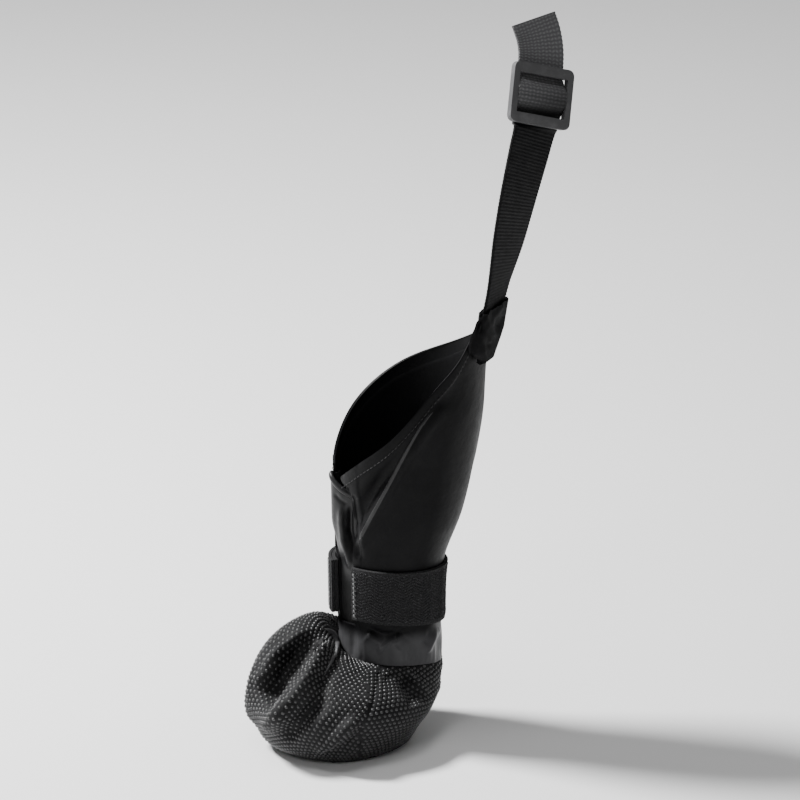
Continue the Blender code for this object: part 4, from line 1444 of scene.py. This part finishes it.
@dataclass
class Shaft:
    """The gathered ankle band, the gaiter with its hemmed rim and slit, and the gusset behind the slit."""

    form: ShaftForm
    shell: Material
    # the gusset's, its hem's and the fold's finish, lighter as a painted highlight and darker below 84 mm as painted
    # shade
    satin: Material
    thread: Material
    open_columns: int = 280
    slit_columns: int = 16
    slit_foot: float = 0.78
    flap_setback: float = 12.0
    hem_lift: float = 0.55
    gusset_wall: float = 1.0
    gusset_drop: float = 9.0
    gusset_tuck: float = 6.0
    gusset_creases: Creases = (
        Crease(((-2.8, 112), (-3, 102), (-2, 94), (0.8, 85), (2.4, 78)), 1.5, 1.7),
        Crease(((1.6, 112), (1.6, 98), (3.6, 88), (5.4, 80)), 1.3, -1.6, fade=0.2),
        Crease(((-6.4, 116.2), (-3.5, 113), (0, 110.8)), 0.9, -0.5),
    )
    gusset_lap: float = 6.0
    stitches: Stitches = Stitches(2.4, 1.7, 0.42)
    skin: Array | None = None
    creases: Creases = (
        # the shadow beside the sharp fold from the flank to the slit's foot
        Crease(((34, 157.3), (1.1, 98.3)), 4.7, -1.2),
        Crease(((2.4, 116), (3.6, 100), (5.5, 84)), 1.7, -1.3, fade=0.1),
        Crease(((44, 152), (24, 117), (10, 94)), 3, -0.6),
        Crease(((47, 160), (42, 150), (30, 128)), 5, 0.7),
        Crease(((12, 128), (6, 112)), 4, 0.6),
        Crease(((52, 178), (44, 140), (30, 98)), 6, -0.5),
        Crease(((58, 185), (62, 150), (56, 110)), 5, 0.5),
        # folds that fan down from the tab on the hidden sides
        Crease(((-30, 188), (-22, 150), (-14, 112)), 4.5, 1.1, side=Side.REAR),
        Crease(((-22, 182), (-10, 145), (-2, 110)), 4, -1.2, side=Side.REAR),
        Crease(((-10, 172), (6, 138), (14, 104)), 5, 0.9, side=Side.REAR),
        Crease(((20, 158), (10, 130), (4, 104)), 4.5, -1.1, side=Side.INNER),
        Crease(((6, 150), (-2, 124), (-4, 100)), 4, 0.9, side=Side.INNER),
    )
    # steep on the left and easy on the right, in the satin finish whose lighter colour is the fold's painted
    # highlight
    fold: LaidRidge = LaidRidge(
        Side.PHOTO, ((41, 155), (37, 151), (33, 145.4), (20, 121), (12.5, 107.2), (5.6, 94)),
        1.05, 0.85,
        ((-1, -0.10), (-0.8, 0.02), (-0.5, 0.25), (-0.2, 0.62), (0.05, 0.93), (0.25, 1), (0.42, 0.86),
         (0.6, 0.45), (0.8, 0.08), (1, -0.10)),
    )
    # share of the way up the hem, then how far it stands out as a share of hem_lift
    hem_section: Line = (
        (0, 0), (0.03, 0.28), (0.08, 0.46), (0.2, 0.62), (0.4, 0.66), (0.6, 0.62), (0.8, 0.56), (0.92, 0.40),
        (1, 0),
    )
    band_rows: int = 26
    strap_rows: int = 11
    gaiter_rows: int = 71
    roll_radius: float = 1.5
    roll_sides: int = 14
    roll_sink: float = 0.4
    hem_stitch_rise: float = 1.3
    hem_stitch_out: float = 0.62
    flap_reach: float = 83.0
    # the fabric turned over along the slit: how far it stands out and how wide it is
    slit_lift: float = 0.45
    slit_turn: float = 4.6
    pleat: float = 0.12
    # the fabric's flat width and height, for the UVs
    flat_shaft: Pair = (170.0, 150.0)
    flat_gusset: Pair = (22.0, 68.0)
    flat_roll: Pair = (8.0, 20.0)
    band_creases: Creases = (
        Crease(((8, 53), (12.5, 50.8), (17, 48.8), (24, 49.8), (31, 51.5)), 1.3, -1.3),
        Crease(((8.5, 49.5), (13, 46.5), (17, 44.8)), 2.2, 1.9),
        Crease(((25.5, 49.5), (19.5, 45), (13.5, 40.5)), 1.4, 1.6, lean=0.3),
        Crease(((29, 49), (23, 42.5)), 2.2, -1.1),
        Crease(((43.5, 53), (40, 46), (37, 39.5)), 1.3, 1.5),
        Crease(((40, 51), (36.5, 44)), 1.5, -0.9),
        Crease(((-16, 54), (-12, 48), (-4, 46)), 1.6, -1.8, side=Side.INNER),
        Crease(((-14, 52), (-6, 47), (6, 50)), 1.8, -1.8, side=Side.REAR),
    )

    def heights(self, angle: Array) -> tuple[Array, Array, int]:
        """Heights and steps outwards of the rows at each angle, and the number of rows under the slit."""
        f = self.form
        seam, low, high, rim = f.seam_height(angle), f.strap_low(angle), f.strap_high(angle), f.rim_height(angle)
        hem = rim - f.hem_width
        band, strap, gaiter = (
            np.linspace(0.0, 1.0, rows + 1)[:-1] for rows in (self.band_rows, self.strap_rows, self.gaiter_rows)
        )
        parts = [seam + f.gap + (low - seam - f.gap) * t for t in band]
        parts += [low + (high - low) * t for t in strap]
        parts += [high + (hem - high) * t for t in gaiter]
        steps = [0.0] * len(parts)
        for t, out in self.hem_section:
            parts.append(hem + (rim - hem) * t)
            steps.append(self.hem_lift * out)
        return np.stack(parts), np.array(steps), int(np.searchsorted(band, self.slit_foot))

    def make_shaft(self) -> Piece:
        """The band and the gaiter as one wall, slit above the band."""
        f = self.form
        right = f.slit_right + 360.0
        share = np.concatenate([
            np.linspace(0.0, 1.0, self.open_columns + 1),
            1.0 + np.linspace(0.0, 1.0, self.slit_columns + 1)[1:],
        ])
        base = np.where(
            share <= 1.0,
            f.slit_left + (right - f.slit_left) * share,
            right + (f.slit_left + 360.0 - right) * (share - 1.0),
        )
        level, out, slit_row = self.heights(base)
        rim = f.rim_height(np.array([f.slit_left]))[0]
        swing = f.flap_corner * smooth((level - rim + 12.0) / 12.0) * smooth(1.0 - share / 0.25)[None, :]
        swing[: slit_row + 1] = 0.0
        back = self.flap_setback * smooth((share - 0.9) / 0.1) * (share <= 1.0)
        swing = swing + back[None, :] * smooth((level - f.strap_high(base)) / 5.0)
        angle = base[None, :] - swing
        height = np.stack([self.heights(angle[i])[0][i] for i in range(len(out))])
        edge = np.abs(angle - f.slit_left) * np.radians(1.0) * f.radius
        edge = np.minimum(edge, np.abs(angle - right + self.flap_setback) * np.radians(1.0) * f.radius)
        step = out[:, None] * np.ones_like(angle)
        above = smooth((height - f.strap_high(angle)) / 6.0)
        step = np.maximum(step, self.slit_lift * above * smooth((self.slit_turn - edge) / 0.8))
        grid = f.point(angle, height, step)
        above = smooth((height - f.strap_high(angle)) / 8.0) * smooth((f.rim_height(angle) - 4.0 - height) / 10.0)
        grid = pressed(grid, self.creases, True, above)
        seam, low = f.seam_height(angle), f.strap_low(angle)
        t = np.clip((height - seam) / (low - seam), 0.0, 1.0)
        grid = pressed(grid, self.band_creases, True, smooth(t / 0.15) * smooth((1.0 - t) / 0.1))
        grid = self.gathered(grid, angle, t)
        self.skin = grid[:, : self.open_columns + 1]
        obj = MeshKit.sheet("shaft_fabric", grid, False, *self.flat_shaft)
        wide = grid.shape[1]
        with Reshape(obj) as form:
            doomed = []
            for face in form.faces:
                index = [v.index for v in face.verts]
                row, col = min(i // wide for i in index), min(i % wide for i in index)
                if col >= self.open_columns and row >= slit_row:
                    doomed.append(face)
            bmesh.ops.delete(form, geom=doomed, context="FACES")
            bmesh.ops.remove_doubles(form, verts=form.verts, dist=WELD)
        MeshKit.wall(obj, f.wall)
        MeshKit.dress(obj, 50.0, self.shell)
        return obj

    def gathered(self, grid: Array, angle: Array, t: Array) -> Array:
        """Fine pleats in the band, strongest at the ankle seam."""
        turn = np.radians(angle)
        wave = np.sin(24 * turn + 2.2 * np.sin(2 * turn + 0.7)) + 0.5 * np.sin(41 * turn + 1.8 * np.sin(4 * turn))
        near = smooth(t / 0.08) * smooth((0.75 - t) / 0.6)
        return grid + surface_normals(grid, True) * (self.pleat * wave * near)[..., None]

    def make_gusset(self) -> tuple[Piece, Piece]:
        """The folded strip behind the slit."""
        f = self.form
        left, right = f.slit_left + self.gusset_lap, f.slit_right - self.gusset_lap - self.flap_setback
        inside = f.wall + 2 * f.gap
        foot, top = f.strap_low(np.array([0.0]))[0] - self.gusset_tuck, f.rim_low - 0.22 * f.hem_width
        # share of the way across, then how far the strip stands out from the shaft's face
        fold = Curve(
            (0, 0.09, 0.14, 0.22, 0.32, 0.44, 0.58, 0.74, 0.88, 1),
            (-inside, -inside, 0.9, 2.1, 1.7, -0.6, -4.5, -7.2, -4.5, -2.4),
        )
        share = np.linspace(0.0, 1.0, 101)
        rise = np.linspace(0.0, 1.0, 120)
        strength = 0.2 + 0.8 * smooth((rise - 0.42) / 0.3)
        out = -inside + (fold(share)[None, :] + inside) * strength[:, None]
        drop = smooth((share - 0.16) / 0.5) * self.gusset_drop
        height = (foot + (top - foot) * rise)[:, None] - drop[None, :] * smooth((rise - 0.6) / 0.4)[:, None]
        angle = (right + (left - right) * share)[None, :] + 0 * height
        grid = pressed(f.point(angle, height, out), self.gusset_creases, False)
        obj = MeshKit.sheet("gusset_fabric", grid, False, *self.flat_gusset)
        MeshKit.wall(obj, self.gusset_wall)
        MeshKit.dress(obj, 50.0, self.satin)
        hem = self.make_roll("gusset_hem", grid[-1, 12:76], surface_normals(grid, False)[-1, 12:76])
        return obj, hem

    def make_roll(self, name: str, line: Array, normals: Array) -> Piece:
        """A rolled edge along a line."""
        centre = line - normals * self.roll_sink
        ahead = unit(np.gradient(centre, axis=0))
        across = unit(np.cross(ahead, normals))
        turn = np.linspace(0.0, 2 * np.pi, self.roll_sides + 1)
        ends = np.linspace(0.0, 1.0, len(line))
        size = self.roll_radius * (0.25 + 0.75 * np.sqrt(np.clip(np.minimum(ends, 1 - ends) / 0.06, 0, 1)))
        ring = normals[:, None] * np.cos(turn)[None, :, None] * 0.8 + across[:, None] * np.sin(turn)[None, :, None]
        grid = centre[:, None] + ring * size[:, None, None]
        obj = MeshKit.sheet(name, grid, True, *self.flat_roll)
        MeshKit.cap(obj)
        MeshKit.dress(obj, 60.0, self.satin)
        return obj

    def make_hem_stitches(self) -> Piece:
        """The line of stitches that holds the rim's hem."""
        f = self.form
        angle = np.linspace(f.slit_left + 2.0, 360.0 + f.slit_right - self.flap_setback - 2.0, 900)
        angle = angle - f.flap_corner * smooth(1.0 - (angle - f.slit_left) / self.flap_reach)
        height = f.rim_height(angle) - f.hem_width + self.hem_stitch_rise
        line = f.point(angle, height, np.full(angle.shape, self.hem_stitch_out))
        return self.stitches.build("hem_stitches", line, ways(angle), self.thread)

    def build(self) -> None:
        """Makes the shaft's pieces and hands them to the frame."""
        hand_in(self.make_shaft(), "softshell", "shaft")
        gusset, hem = self.make_gusset()
        hand_in(gusset, "softshell", "throat_gusset")
        hand_in(hem, "softshell")
        hand_in(self.make_hem_stitches(), "softshell")
        hand_in(self.fold.build("shaft_fold", self.skin, self.satin), "softshell")


@dataclass
class Strap:
    """The ankle strap and its free end."""

    form: ShaftForm
    tape: Material
    fluff: Material
    thread: Material
    wall: float = 1.6
    end_wall: float = 1.4
    end_length: float = 38.0
    tuft_pitch: float = 0.86
    tuft_row: float = 1.55
    tuft_slant: float = 27.0
    chevron: float = 5.2
    selvedge: float = 1.5
    rows: int = 41
    columns: int = 260
    end_columns: int = 80
    # the CAD's strap has this many steps round the ring, and the free end starts on one of them
    steps: int = 40
    stitches: Stitches = Stitches(2.3, 2.8, 1.1, slant=36.0)
    stitch_shares: Pair = (0.014, 0.985)
    place_seed: int = 11
    size_seed: int = 13

    def grid(self, out: float, first: float, last: float, columns: int) -> Array:
        """The strap's inner face between two shares of the way round the open ring."""
        f = self.form
        share = np.linspace(first, last, columns)
        angle = (f.slit_left + f.ring * share)[None, :]
        rise = np.linspace(0.0, 1.0, self.rows)[:, None]
        low, high = f.strap_low(angle), f.strap_high(angle)
        height = low + (high - low) * rise
        return f.point(angle + 0 * height, height, out)

    def length(self, grid: Array) -> float:
        """The length of a layer along its middle."""
        return float(np.linalg.norm(np.diff(grid[self.rows // 2], axis=0), axis=1).sum())

    def make(self, name: str, out: float, first: float, last: float, columns: int, wall: float) -> Piece:
        """One layer of the strap."""
        grid = self.grid(out, first, last, columns)
        obj = MeshKit.sheet(name, grid, False, self.length(grid), self.form.strap_width)
        MeshKit.wall(obj, wall, 1.0)
        MeshKit.dress(obj, 50.0, self.tape)
        return obj

    def make_tufts(self, name: str, out: float, first: float, last: float, columns: int) -> Piece:
        """The tape's small slanting loops in chevron rows, between its plain selvedges."""
        grid = self.grid(out, first, last, columns)
        normals = surface_normals(grid, False)
        length = self.length(grid)
        chance = np.random.default_rng(self.place_seed)
        pattern = DotPattern(pitch=self.tuft_pitch, row_pitch=self.tuft_row, long=0.58, short=0.32, height=0.42)
        places, slants = [], []
        clear, width = self.selvedge, self.form.strap_width - 2 * self.selvedge
        slope = math.tan(math.radians(self.tuft_slant))
        for x in np.arange(1.2, length - 1.0, pattern.pitch):
            turn = (x / self.chevron) % 2.0
            swing = abs(turn - 1.0) * self.chevron * slope
            for y in np.arange(0.0, width, pattern.row_pitch):
                places.append((x + chance.normal(0, 0.08), clear + (y + swing) % width + chance.normal(0, 0.05)))
                slants.append((-1.0 if turn < 1.0 else 1.0) * self.tuft_slant + chance.normal(0, 6.0))
        spots = np.array(places)
        row = spots[:, 1] / self.form.strap_width * (grid.shape[0] - 1)
        col = spots[:, 0] / length * (grid.shape[1] - 1)
        keep = (row < grid.shape[0] - 2.6) & (col < grid.shape[1] - 1.5)
        row, col, slant = row[keep], col[keep], np.array(slants)[keep]
        i, j = row.astype(int), col.astype(int)
        frames = across_from(unit(grid[i, j + 1] - grid[i, j]), unit(normals[i, j]), slant)
        points = between(grid, np.stack([row, col], axis=-1))
        return pattern.build(name, points, frames, self.size_seed, self.fluff, sides=6)

    def make_edge_stitches(self, name: str, out: float, share: float) -> Piece:
        """The stitches down one end of the strap."""
        f = self.form
        angle = np.full(60, f.slit_left + f.ring * share)
        rise = np.linspace(0.03, 0.97, 60)
        low, high = f.strap_low(angle), f.strap_high(angle)
        line = f.point(angle, low + (high - low) * rise, np.full(60, out + 0.1))
        return self.stitches.build(name, line, ways(angle), self.thread)

    def build(self) -> None:
        """Makes the strap's layers and hands them to the frame."""
        f = self.form
        hand_in(self.make("strap_tape", f.gap, 0.0, 1.0, self.columns, self.wall), "loop_tape", "ankle_strap")
        around = math.radians(f.ring) * f.radius
        first = 1.0 - (round(self.end_length / around * self.steps) + 1) / self.steps
        end = self.make("strap_end_tape", 2 * f.gap + self.wall, first, 1.0, self.end_columns, self.end_wall)
        hand_in(end, "loop_tape", "strap_end")
        hand_in(self.make_tufts("strap_tufts", f.gap + self.wall, 0.0, 1.0, self.columns), "loop_tape")
        outer = 2 * f.gap + self.wall + self.end_wall
        hand_in(self.make_tufts("strap_end_tufts", outer, first, 1.0, self.end_columns), "loop_tape")
        hand_in(self.make_edge_stitches("strap_stitches", f.gap + self.wall, self.stitch_shares[0]), "loop_tape")
        hand_in(self.make_edge_stitches("strap_end_stitches", outer, self.stitch_shares[1]), "loop_tape")


@dataclass
class Suspender:
    """The folded tab at the peak, the webbing and the slide buckle."""

    form: ShaftForm
    shell: Material
    web: Material
    plastic: Material
    peak_angle: float = 125.0
    width: float = 25.0
    wall: float = 1.5
    tab_wall: float = 1.0
    tab_length: float = 23.0
    tab_rise: float = 3.0
    tab_margin: float = 1.5
    tab_foot_width: float = 11.0
    seat: float = 0.40
    buckle_length: float = 28.0
    buckle_wall: float = 3.0
    buckle_bar: float = 4.5
    buckle_end_bar: float = 4.75
    tail_length: float = 22.0
    # back, left and rise as shares of the peak's height, and the way that the webbing faces
    route: Rows = (
        (0, 0, 0, 119),
        (0.020, 0.008, 0.098, 112),
        (0.060, 0.004, 0.238, 101),
        (0.112, -0.012, 0.371, 91),
    )
    buckle_facing: float = 84.0
    buckle_merge: float = 0.01
    buckle_round: float = 0.5
    buckle_up: Spot = (-0.34, -0.30, 1.0)
    tail_up: Spot = (-0.05, -0.36, 1.0)
    rib: float = 1.6
    rib_depth: float = 0.19
    tail_rib_depth: float = 0.32
    tail_start: float = 300.0
    window_spread: float = 1.35
    window_reach: float = 12.0
    path_step: float = 0.25
    waver: float = 0.16
    waver_pitch: float = 3.1
    bend_play: float = 0.55
    tab_ragged: float = 0.5
    # share of the way up the tab, then how far its outer layer's left edge reaches out and sinks in
    tab_reach: Line = ((0.0, 0.0), (0.2, 5.0), (0.42, 4.2), (0.7, 1.8), (1.0, 0.0))
    tab_sink: Line = ((0.0, 2.4), (0.2, 3.3), (0.55, 2.6), (0.85, 0.8), (1.0, 0.0))
    # how much of the space between the tab's two layers is taken up where they are sewn together
    tab_press: float = 0.82
    flat_tab: Pair = (28.0, 54.0)
    tab_creases: Creases = (
        Crease(((62.5, 203), (64.5, 196), (68.5, 188)), 1.5, 0.8),
        Crease(((66, 204), (69, 197), (70, 190)), 1.6, -0.8),
        Crease(((72.5, 205), (69.5, 200), (66, 193.5)), 1.2, 0.6),
        Crease(((60, 197), (64, 190), (66, 183)), 1.6, -0.7),
        Crease(((73, 200), (70, 193)), 1.3, -0.6),
        Crease(((61, 192), (67, 186)), 1.2, 0.6),
    )

    def tab_frame(self) -> tuple[Array, Array, Array]:
        """The tab's foot and top on the webbing's middle line, and the way it faces."""
        f = self.form
        clear = 2 * f.gap + self.tab_wall + self.wall / 2
        ends = []
        for height in (f.peak - self.tab_length, f.peak + self.tab_rise):
            here, ahead = (
                f.place(np.array(a), f.reach(np.array(a), height) + f.hem_step, np.array(height))
                for a in (self.peak_angle, self.peak_angle + 4.0)
            )
            edge = unit(ahead - here)
            outward = np.array((edge[1], -edge[0], 0.0))
            ends.append(here + outward * clear)
        foot, top = ends
        rise = unit(top - foot)
        return foot, top, unit(outward - rise * outward.dot(rise))

    def buckle_frame(self) -> tuple[Array, Array, Array]:
        """The buckle's middle, its upward way and the way it faces."""
        _, top, _ = self.tab_frame()
        back, left, rise, _ = self.route[-1]
        below = top + np.array((-back, left, rise)) * self.form.peak
        up = unit(np.array(self.buckle_up))
        facing = way(self.buckle_facing)
        facing = unit(facing - up * facing.dot(up))
        forward = self.buckle_wall / 2 + self.form.gap + self.wall / 2
        return below + up * (self.buckle_length / 2 + 2.0) + facing * forward, up, facing

    def webbing_path(self) -> tuple[Array, Array]:
        """Middle points and facings of the webbing from the tab to its end, on the CAD's path."""
        foot, top, tab_facing = self.tab_frame()
        points = [foot + (top - foot) * t for t in (1.0 - self.seat, 1.0)]
        facings = [tab_facing, tab_facing]
        curves = [Curve(tuple(range(len(self.route))), column(self.route, k)) for k in range(4)]
        for i in range(1, 3 * (len(self.route) - 1) + 1):
            back, left, rise, face = (float(c(i / 3)) for c in curves)
            turn = float(smooth(i / 3 / 1.5))
            points.append(top + np.array((-back, left, rise)) * self.form.peak)
            facings.append(tab_facing * (1 - turn) + way(face) * turn)
        middle, up, facing = self.buckle_frame()
        behind = -(self.buckle_wall / 2 + self.form.gap + self.wall / 2)
        before = 0.1 * self.buckle_wall + self.form.gap + self.wall / 2
        play = self.bend_play
        window = self.buckle_length / 2 - self.buckle_end_bar
        bar = self.buckle_bar / 2 + play
        half = self.buckle_length / 2
        turns = ((-half, behind), (-window + play, behind), (-bar, before), (0.0, before + self.form.gap / 2),
                 (bar, before), (window - play, behind), (half, behind))
        points += [middle + up * s + facing * d for s, d in turns]
        tail = unit(np.array(self.tail_up))
        last = points[-1]
        points += [last + (up * (1 - t) + tail * t) * (t * self.tail_length) for t in (0.33, 0.66, 1.0)]
        facings += [facing] * (len(turns) + 3)
        return np.array(points), unit(np.array(facings))

    def smooth_path(self, step: float) -> tuple[Array, Array, Array, float]:
        """The webbing's path at even steps: points, sides, facings and its length."""
        points, facings = self.webbing_path()
        run = run_along(points)
        at = np.linspace(0.0, run[-1], int(run[-1] / step))
        line, face = curved(run, points, at), unit(curved(run, facings, at))
        ahead = unit(np.gradient(line, axis=0))
        side = unit(np.cross(ahead, face))
        return line, side, unit(np.cross(side, ahead)), float(run[-1])

    def make_webbing(self) -> Piece:
        """The webbing with its real cross ribs, as one closed band."""
        line, side, face, length = self.smooth_path(self.path_step)
        edge = self.width / 2
        front = [(x, self.wall / 2) for x in np.linspace(-edge + 0.45, edge - 0.45, 26)]
        front += [(edge - 0.14, self.wall * 0.36), (edge, 0.0)]
        back = [(-x, -y) for x, y in front]
        section = np.array(front + back + front[:1])
        at = np.linspace(0.0, length, len(line))
        tail = smooth((line[:, 2] - self.tail_start) / 20.0)[:, None]
        waver = self.waver * (1.0 + tail) * np.sin(2 * np.pi * section[:, 0] / self.waver_pitch)[None, :]
        phase = at[:, None] / self.rib + waver
        depth = self.rib_depth + (self.tail_rib_depth - self.rib_depth) * tail
        swell = depth * (-0.5 - 0.5 * np.cos(2 * np.pi * phase))
        flat = np.abs(section[:, 1]) > 0.3
        height = section[None, :, 1] + np.where(flat, np.sign(section[:, 1]), 0.0)[None, :] * swell
        # pressed by the bar, the band spreads a little inside the buckle's window
        off_bar = np.linalg.norm(line - self.buckle_frame()[0], axis=1)
        spread = 1.0 + self.window_spread / self.width * smooth((self.window_reach - off_bar) / 4.0)
        across = section[None, :, 0] * spread[:, None]
        grid = line[:, None] + side[:, None] * across[..., None] + face[:, None] * height[..., None]
        grid = grid[:, ::-1]
        obj = MeshKit.sheet("webbing_band", grid, True, 2 * (self.width + self.wall), length)
        MeshKit.cap(obj)
        MeshKit.dress(obj, 60.0, self.web)
        return obj

    def make_tab(self) -> Piece:
        """The strip of shaft fabric folded under the webbing's end."""
        foot, top, facing = self.tab_frame()
        rise = top - foot
        up = unit(rise)
        reach = self.wall / 2 + self.form.gap + self.tab_wall / 2
        points, facings, widths = [], [], []
        full = self.width + 2 * self.tab_margin
        taper = Curve((0.0, 1.0 - self.seat, 1.0), (self.tab_foot_width, full, full))
        for t in np.linspace(1.0, 0.0, 40):
            points.append(foot + rise * t - facing * reach)
            facings.append(facing)
            widths.append(float(taper(t)))
        for turn in np.linspace(0.0, math.pi, 14)[1:-1]:
            points.append(foot - facing * (reach * math.cos(turn)) - up * (reach * math.sin(turn)))
            facings.append(facing * math.cos(turn) + up * math.sin(turn))
            widths.append(self.tab_foot_width)
        for t in np.linspace(0.0, 1.0, 40):
            points.append(foot + rise * t + facing * reach)
            facings.append(-facing)
            widths.append(float(taper(t)))
        line, face = np.array(points), np.array(facings)
        ahead = unit(np.gradient(line, axis=0))
        side = unit(np.cross(ahead, face))
        share = np.linspace(-0.5, 0.5, 61)
        across = np.array(widths)[:, None] * share[None, :]
        run = np.linspace(0.0, 1.0, len(line))
        left = np.sign(side @ Side.PHOTO.ray(-1.0, 0.0)[0])
        outer = np.arange(len(line)) > len(line) / 2
        rise_share = np.clip((line - foot) @ up / np.linalg.norm(rise), 0.0, 1.0)
        reach_over = table_curve(self.tab_reach)(rise_share) * outer
        across = across + (left * reach_over)[:, None] * smooth((share[None, :] * left[:, None] - 0.05) / 0.45)
        # the two layers meet outside the webbing's edges, where they are sewn together
        beyond = smooth((np.abs(across) - self.width / 2 - 0.1) / self.tab_margin)
        meet = (line - foot) @ facing
        grid = line[:, None] - facing * (meet[:, None] * beyond * self.tab_press)[..., None]
        grid = grid + side[:, None] * across[..., None]
        sink = table_curve(self.tab_sink)(rise_share) * outer
        inward = smooth((share[None, :] * left[:, None] - 0.26) / 0.24) * sink[:, None]
        grid = grid - facing * inward[..., None]
        grid = pressed(grid[:, ::-1], self.tab_creases, False)[:, ::-1]
        ragged = self.tab_ragged * (np.sin(share * 23 + 1.0) + 0.6 * np.sin(share * 57)) * 0.5
        top_edge = smooth((np.abs(run - 0.5) - 0.42) / 0.08)
        grid = grid + up * (top_edge[:, None] * ragged[None, :])[..., None]
        obj = MeshKit.sheet("tab_fabric", grid, False, *self.flat_tab)
        MeshKit.wall(obj, self.tab_wall, 0.0)
        MeshKit.dress(obj, 50.0, self.shell)
        return obj

    def make_buckle(self, node: Piece) -> Piece:
        """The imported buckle's own shape, merged into one skin and with its moulded edges rounded off."""
        mesh = bpy.data.meshes.new("buckle_frame")
        form = bmesh.new()
        form.from_mesh(node.data)
        bmesh.ops.remove_doubles(form, verts=form.verts, dist=self.buckle_merge * MM)
        form.to_mesh(mesh)
        form.free()
        obj = stood("buckle_frame", mesh)
        MeshKit.apply(
            obj, "BEVEL", width=self.buckle_round * MM, segments=3, limit_method="ANGLE",
            angle_limit=math.radians(35.0),
        )
        MeshKit.dress(obj, 30.0, self.plastic)
        return obj

    def build(self, nodes: dict[str, Piece]) -> None:
        """Makes the suspender's pieces and hands them to the frame."""
        hand_in(self.make_webbing(), "webbing", "suspender_webbing")
        hand_in(self.make_tab(), "softshell", "peak_tab")
        hand_in(self.make_buckle(nodes["slide_buckle"]), "buckle_plastic", "slide_buckle")


def hand_in(obj: Piece, slot: str, *nodes: str) -> None:
    """Makes a piece ride on the body, hides the nodes that it stands for and logs its number of faces."""
    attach(obj, "root")
    if nodes:
        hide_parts(*nodes)
    LOG.info("%s: %d faces", obj.name, len(obj.data.polygons))


@dataclass(frozen=True)
class Lamp:
    """A round area light that looks at the boot's middle: degrees, metres and watts."""

    name: str
    azimuth: float
    elevation: float
    distance: float
    size: float
    power: float

    def build(self, middle: Spot) -> None:
        """Makes it, looking at a middle in metres."""
        back = Vector(sight(self.azimuth, self.elevation))
        data = bpy.data.lights.new(self.name, "AREA")
        data.shape, data.size, data.energy = "DISK", self.size, self.power
        lamp = stood(self.name, data)
        lamp.location = back * self.distance + Vector(middle)
        lamp.rotation_euler = back.to_track_quat("Z", "Y").to_euler()


@dataclass
class Studio:
    """The camera, the lights and the floor."""

    azimuth: float = 55.4
    elevation: float = 19.4
    aim: Spot = (-26.0, 6.0, 166.0)
    distance: float = 2400.0
    span: float = 374.0
    sensor: float = 36.0
    far: float = 20.0
    floor_size: float = 12.0
    floor_tone: float = 0.80
    floor_rough: float = 0.6
    sky: float = 0.20
    lit_middle: Spot = (-0.025, 0.0, 0.12)
    lamps: tuple[Lamp, ...] = (
        Lamp("key", -52.0, 48.0, 1.4, 0.32, 70.0),
        Lamp("front_fill", 30.0, 35.0, 1.7, 0.5, 3.5),
        Lamp("right_edge", 160.0, 55.0, 1.6, 0.4, 2.0),
        Lamp("top", 30.0, 78.0, 1.5, 0.5, 5.0),
    )

    def make_camera(self) -> None:
        """The camera at the photo's angle."""
        camera = bpy.data.cameras.new("camera")
        camera.sensor_width = self.sensor
        camera.lens = self.sensor * self.distance / self.span
        camera.clip_end = self.far
        holder = stood("camera", camera)
        back = sight(self.azimuth, self.elevation)
        holder.location = Vector((np.array(self.aim) + back * self.distance) * MM)
        holder.rotation_euler = Vector(back).to_track_quat("Z", "Y").to_euler()
        bpy.context.scene.camera = holder

    def make_floor(self) -> None:
        """The plain pale floor."""
        bpy.ops.object.select_all(action="DESELECT")
        bpy.ops.mesh.primitive_plane_add(size=self.floor_size, location=(0.0, 0.0, 0.0))
        floor = bpy.context.active_object
        floor.name = "floor"
        floor.data.materials.append(Graph("pale_floor", (self.floor_tone,) * 3, self.floor_rough).material)

    def build(self) -> None:
        """Makes them."""
        self.make_camera()
        self.make_floor()
        world = bpy.data.worlds.new("studio")
        bpy.context.scene.world = world
        world.use_nodes = True
        sky = world.node_tree.nodes["Background"]
        sky.inputs["Color"].default_value = (1.0, 1.0, 1.0, 1.0)
        sky.inputs["Strength"].default_value = self.sky
        for lamp in self.lamps:
            lamp.build(self.lit_middle)


def main() -> None:
    """Builds the boot's looks round the frame."""
    logging.basicConfig(level=logging.INFO, format="%(name)s %(message)s")
    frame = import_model()
    shell, web, plastic = Softshell().build(), RibbedWebbing().build(), MouldedPlastic().build()
    base, dots, lining = DottedBase().build(), RubberDot().build(), SoftLining().build()
    tape, thread = LoopTape().build(), SewingThread(colour=(0.0035, 0.0035, 0.0037)).build()
    fluff = LoopTape(colour=(0.021, 0.021, 0.022), tips=(0.055, 0.055, 0.057)).build("loop_tufts")
    # the satin pieces' finish: its lighter colour is a painted highlight of the satin's sheen, and the darker band
    # below 84 mm is painted shade on the gusset's lower part
    satin = Softshell(
        colour=(0.0060, 0.0060, 0.0064), worn=(0.0110, 0.0110, 0.0116), band=(0.0015, 0.0015, 0.0016), band_top=84.0,
        band_rough=0.35, rough=0.40, sheen=0.30,
    ).build("softshell_painted_light")
    shaft = ShaftForm()
    # the binding's finish: its light colour is a painted highlight along the pouch's fold edge
    highlight_edging = Softshell(colour=(0.055, 0.055, 0.057), band=(0.055, 0.055, 0.057), sheen=0.5).build("softshell_painted_highlight")
    Foot(FootForm(shaft), base, dots, lining, highlight_edging).build()
    Shaft(shaft, shell, satin, thread).build()
    Strap(shaft, tape, fluff, SewingThread(colour=(0.055, 0.055, 0.056)).build("strap_thread")).build()
    folded = Softshell(colour=(0.0048, 0.0048, 0.0051), worn=(0.0090, 0.0090, 0.0096), rough=0.60, sheen=0.02)
    Suspender(shaft, folded.build("softshell_tab"), web, plastic).build(frame["nodes"])
    Studio().build()
    bpy.context.view_layer.update()


if __name__ == "__main__":
    main()
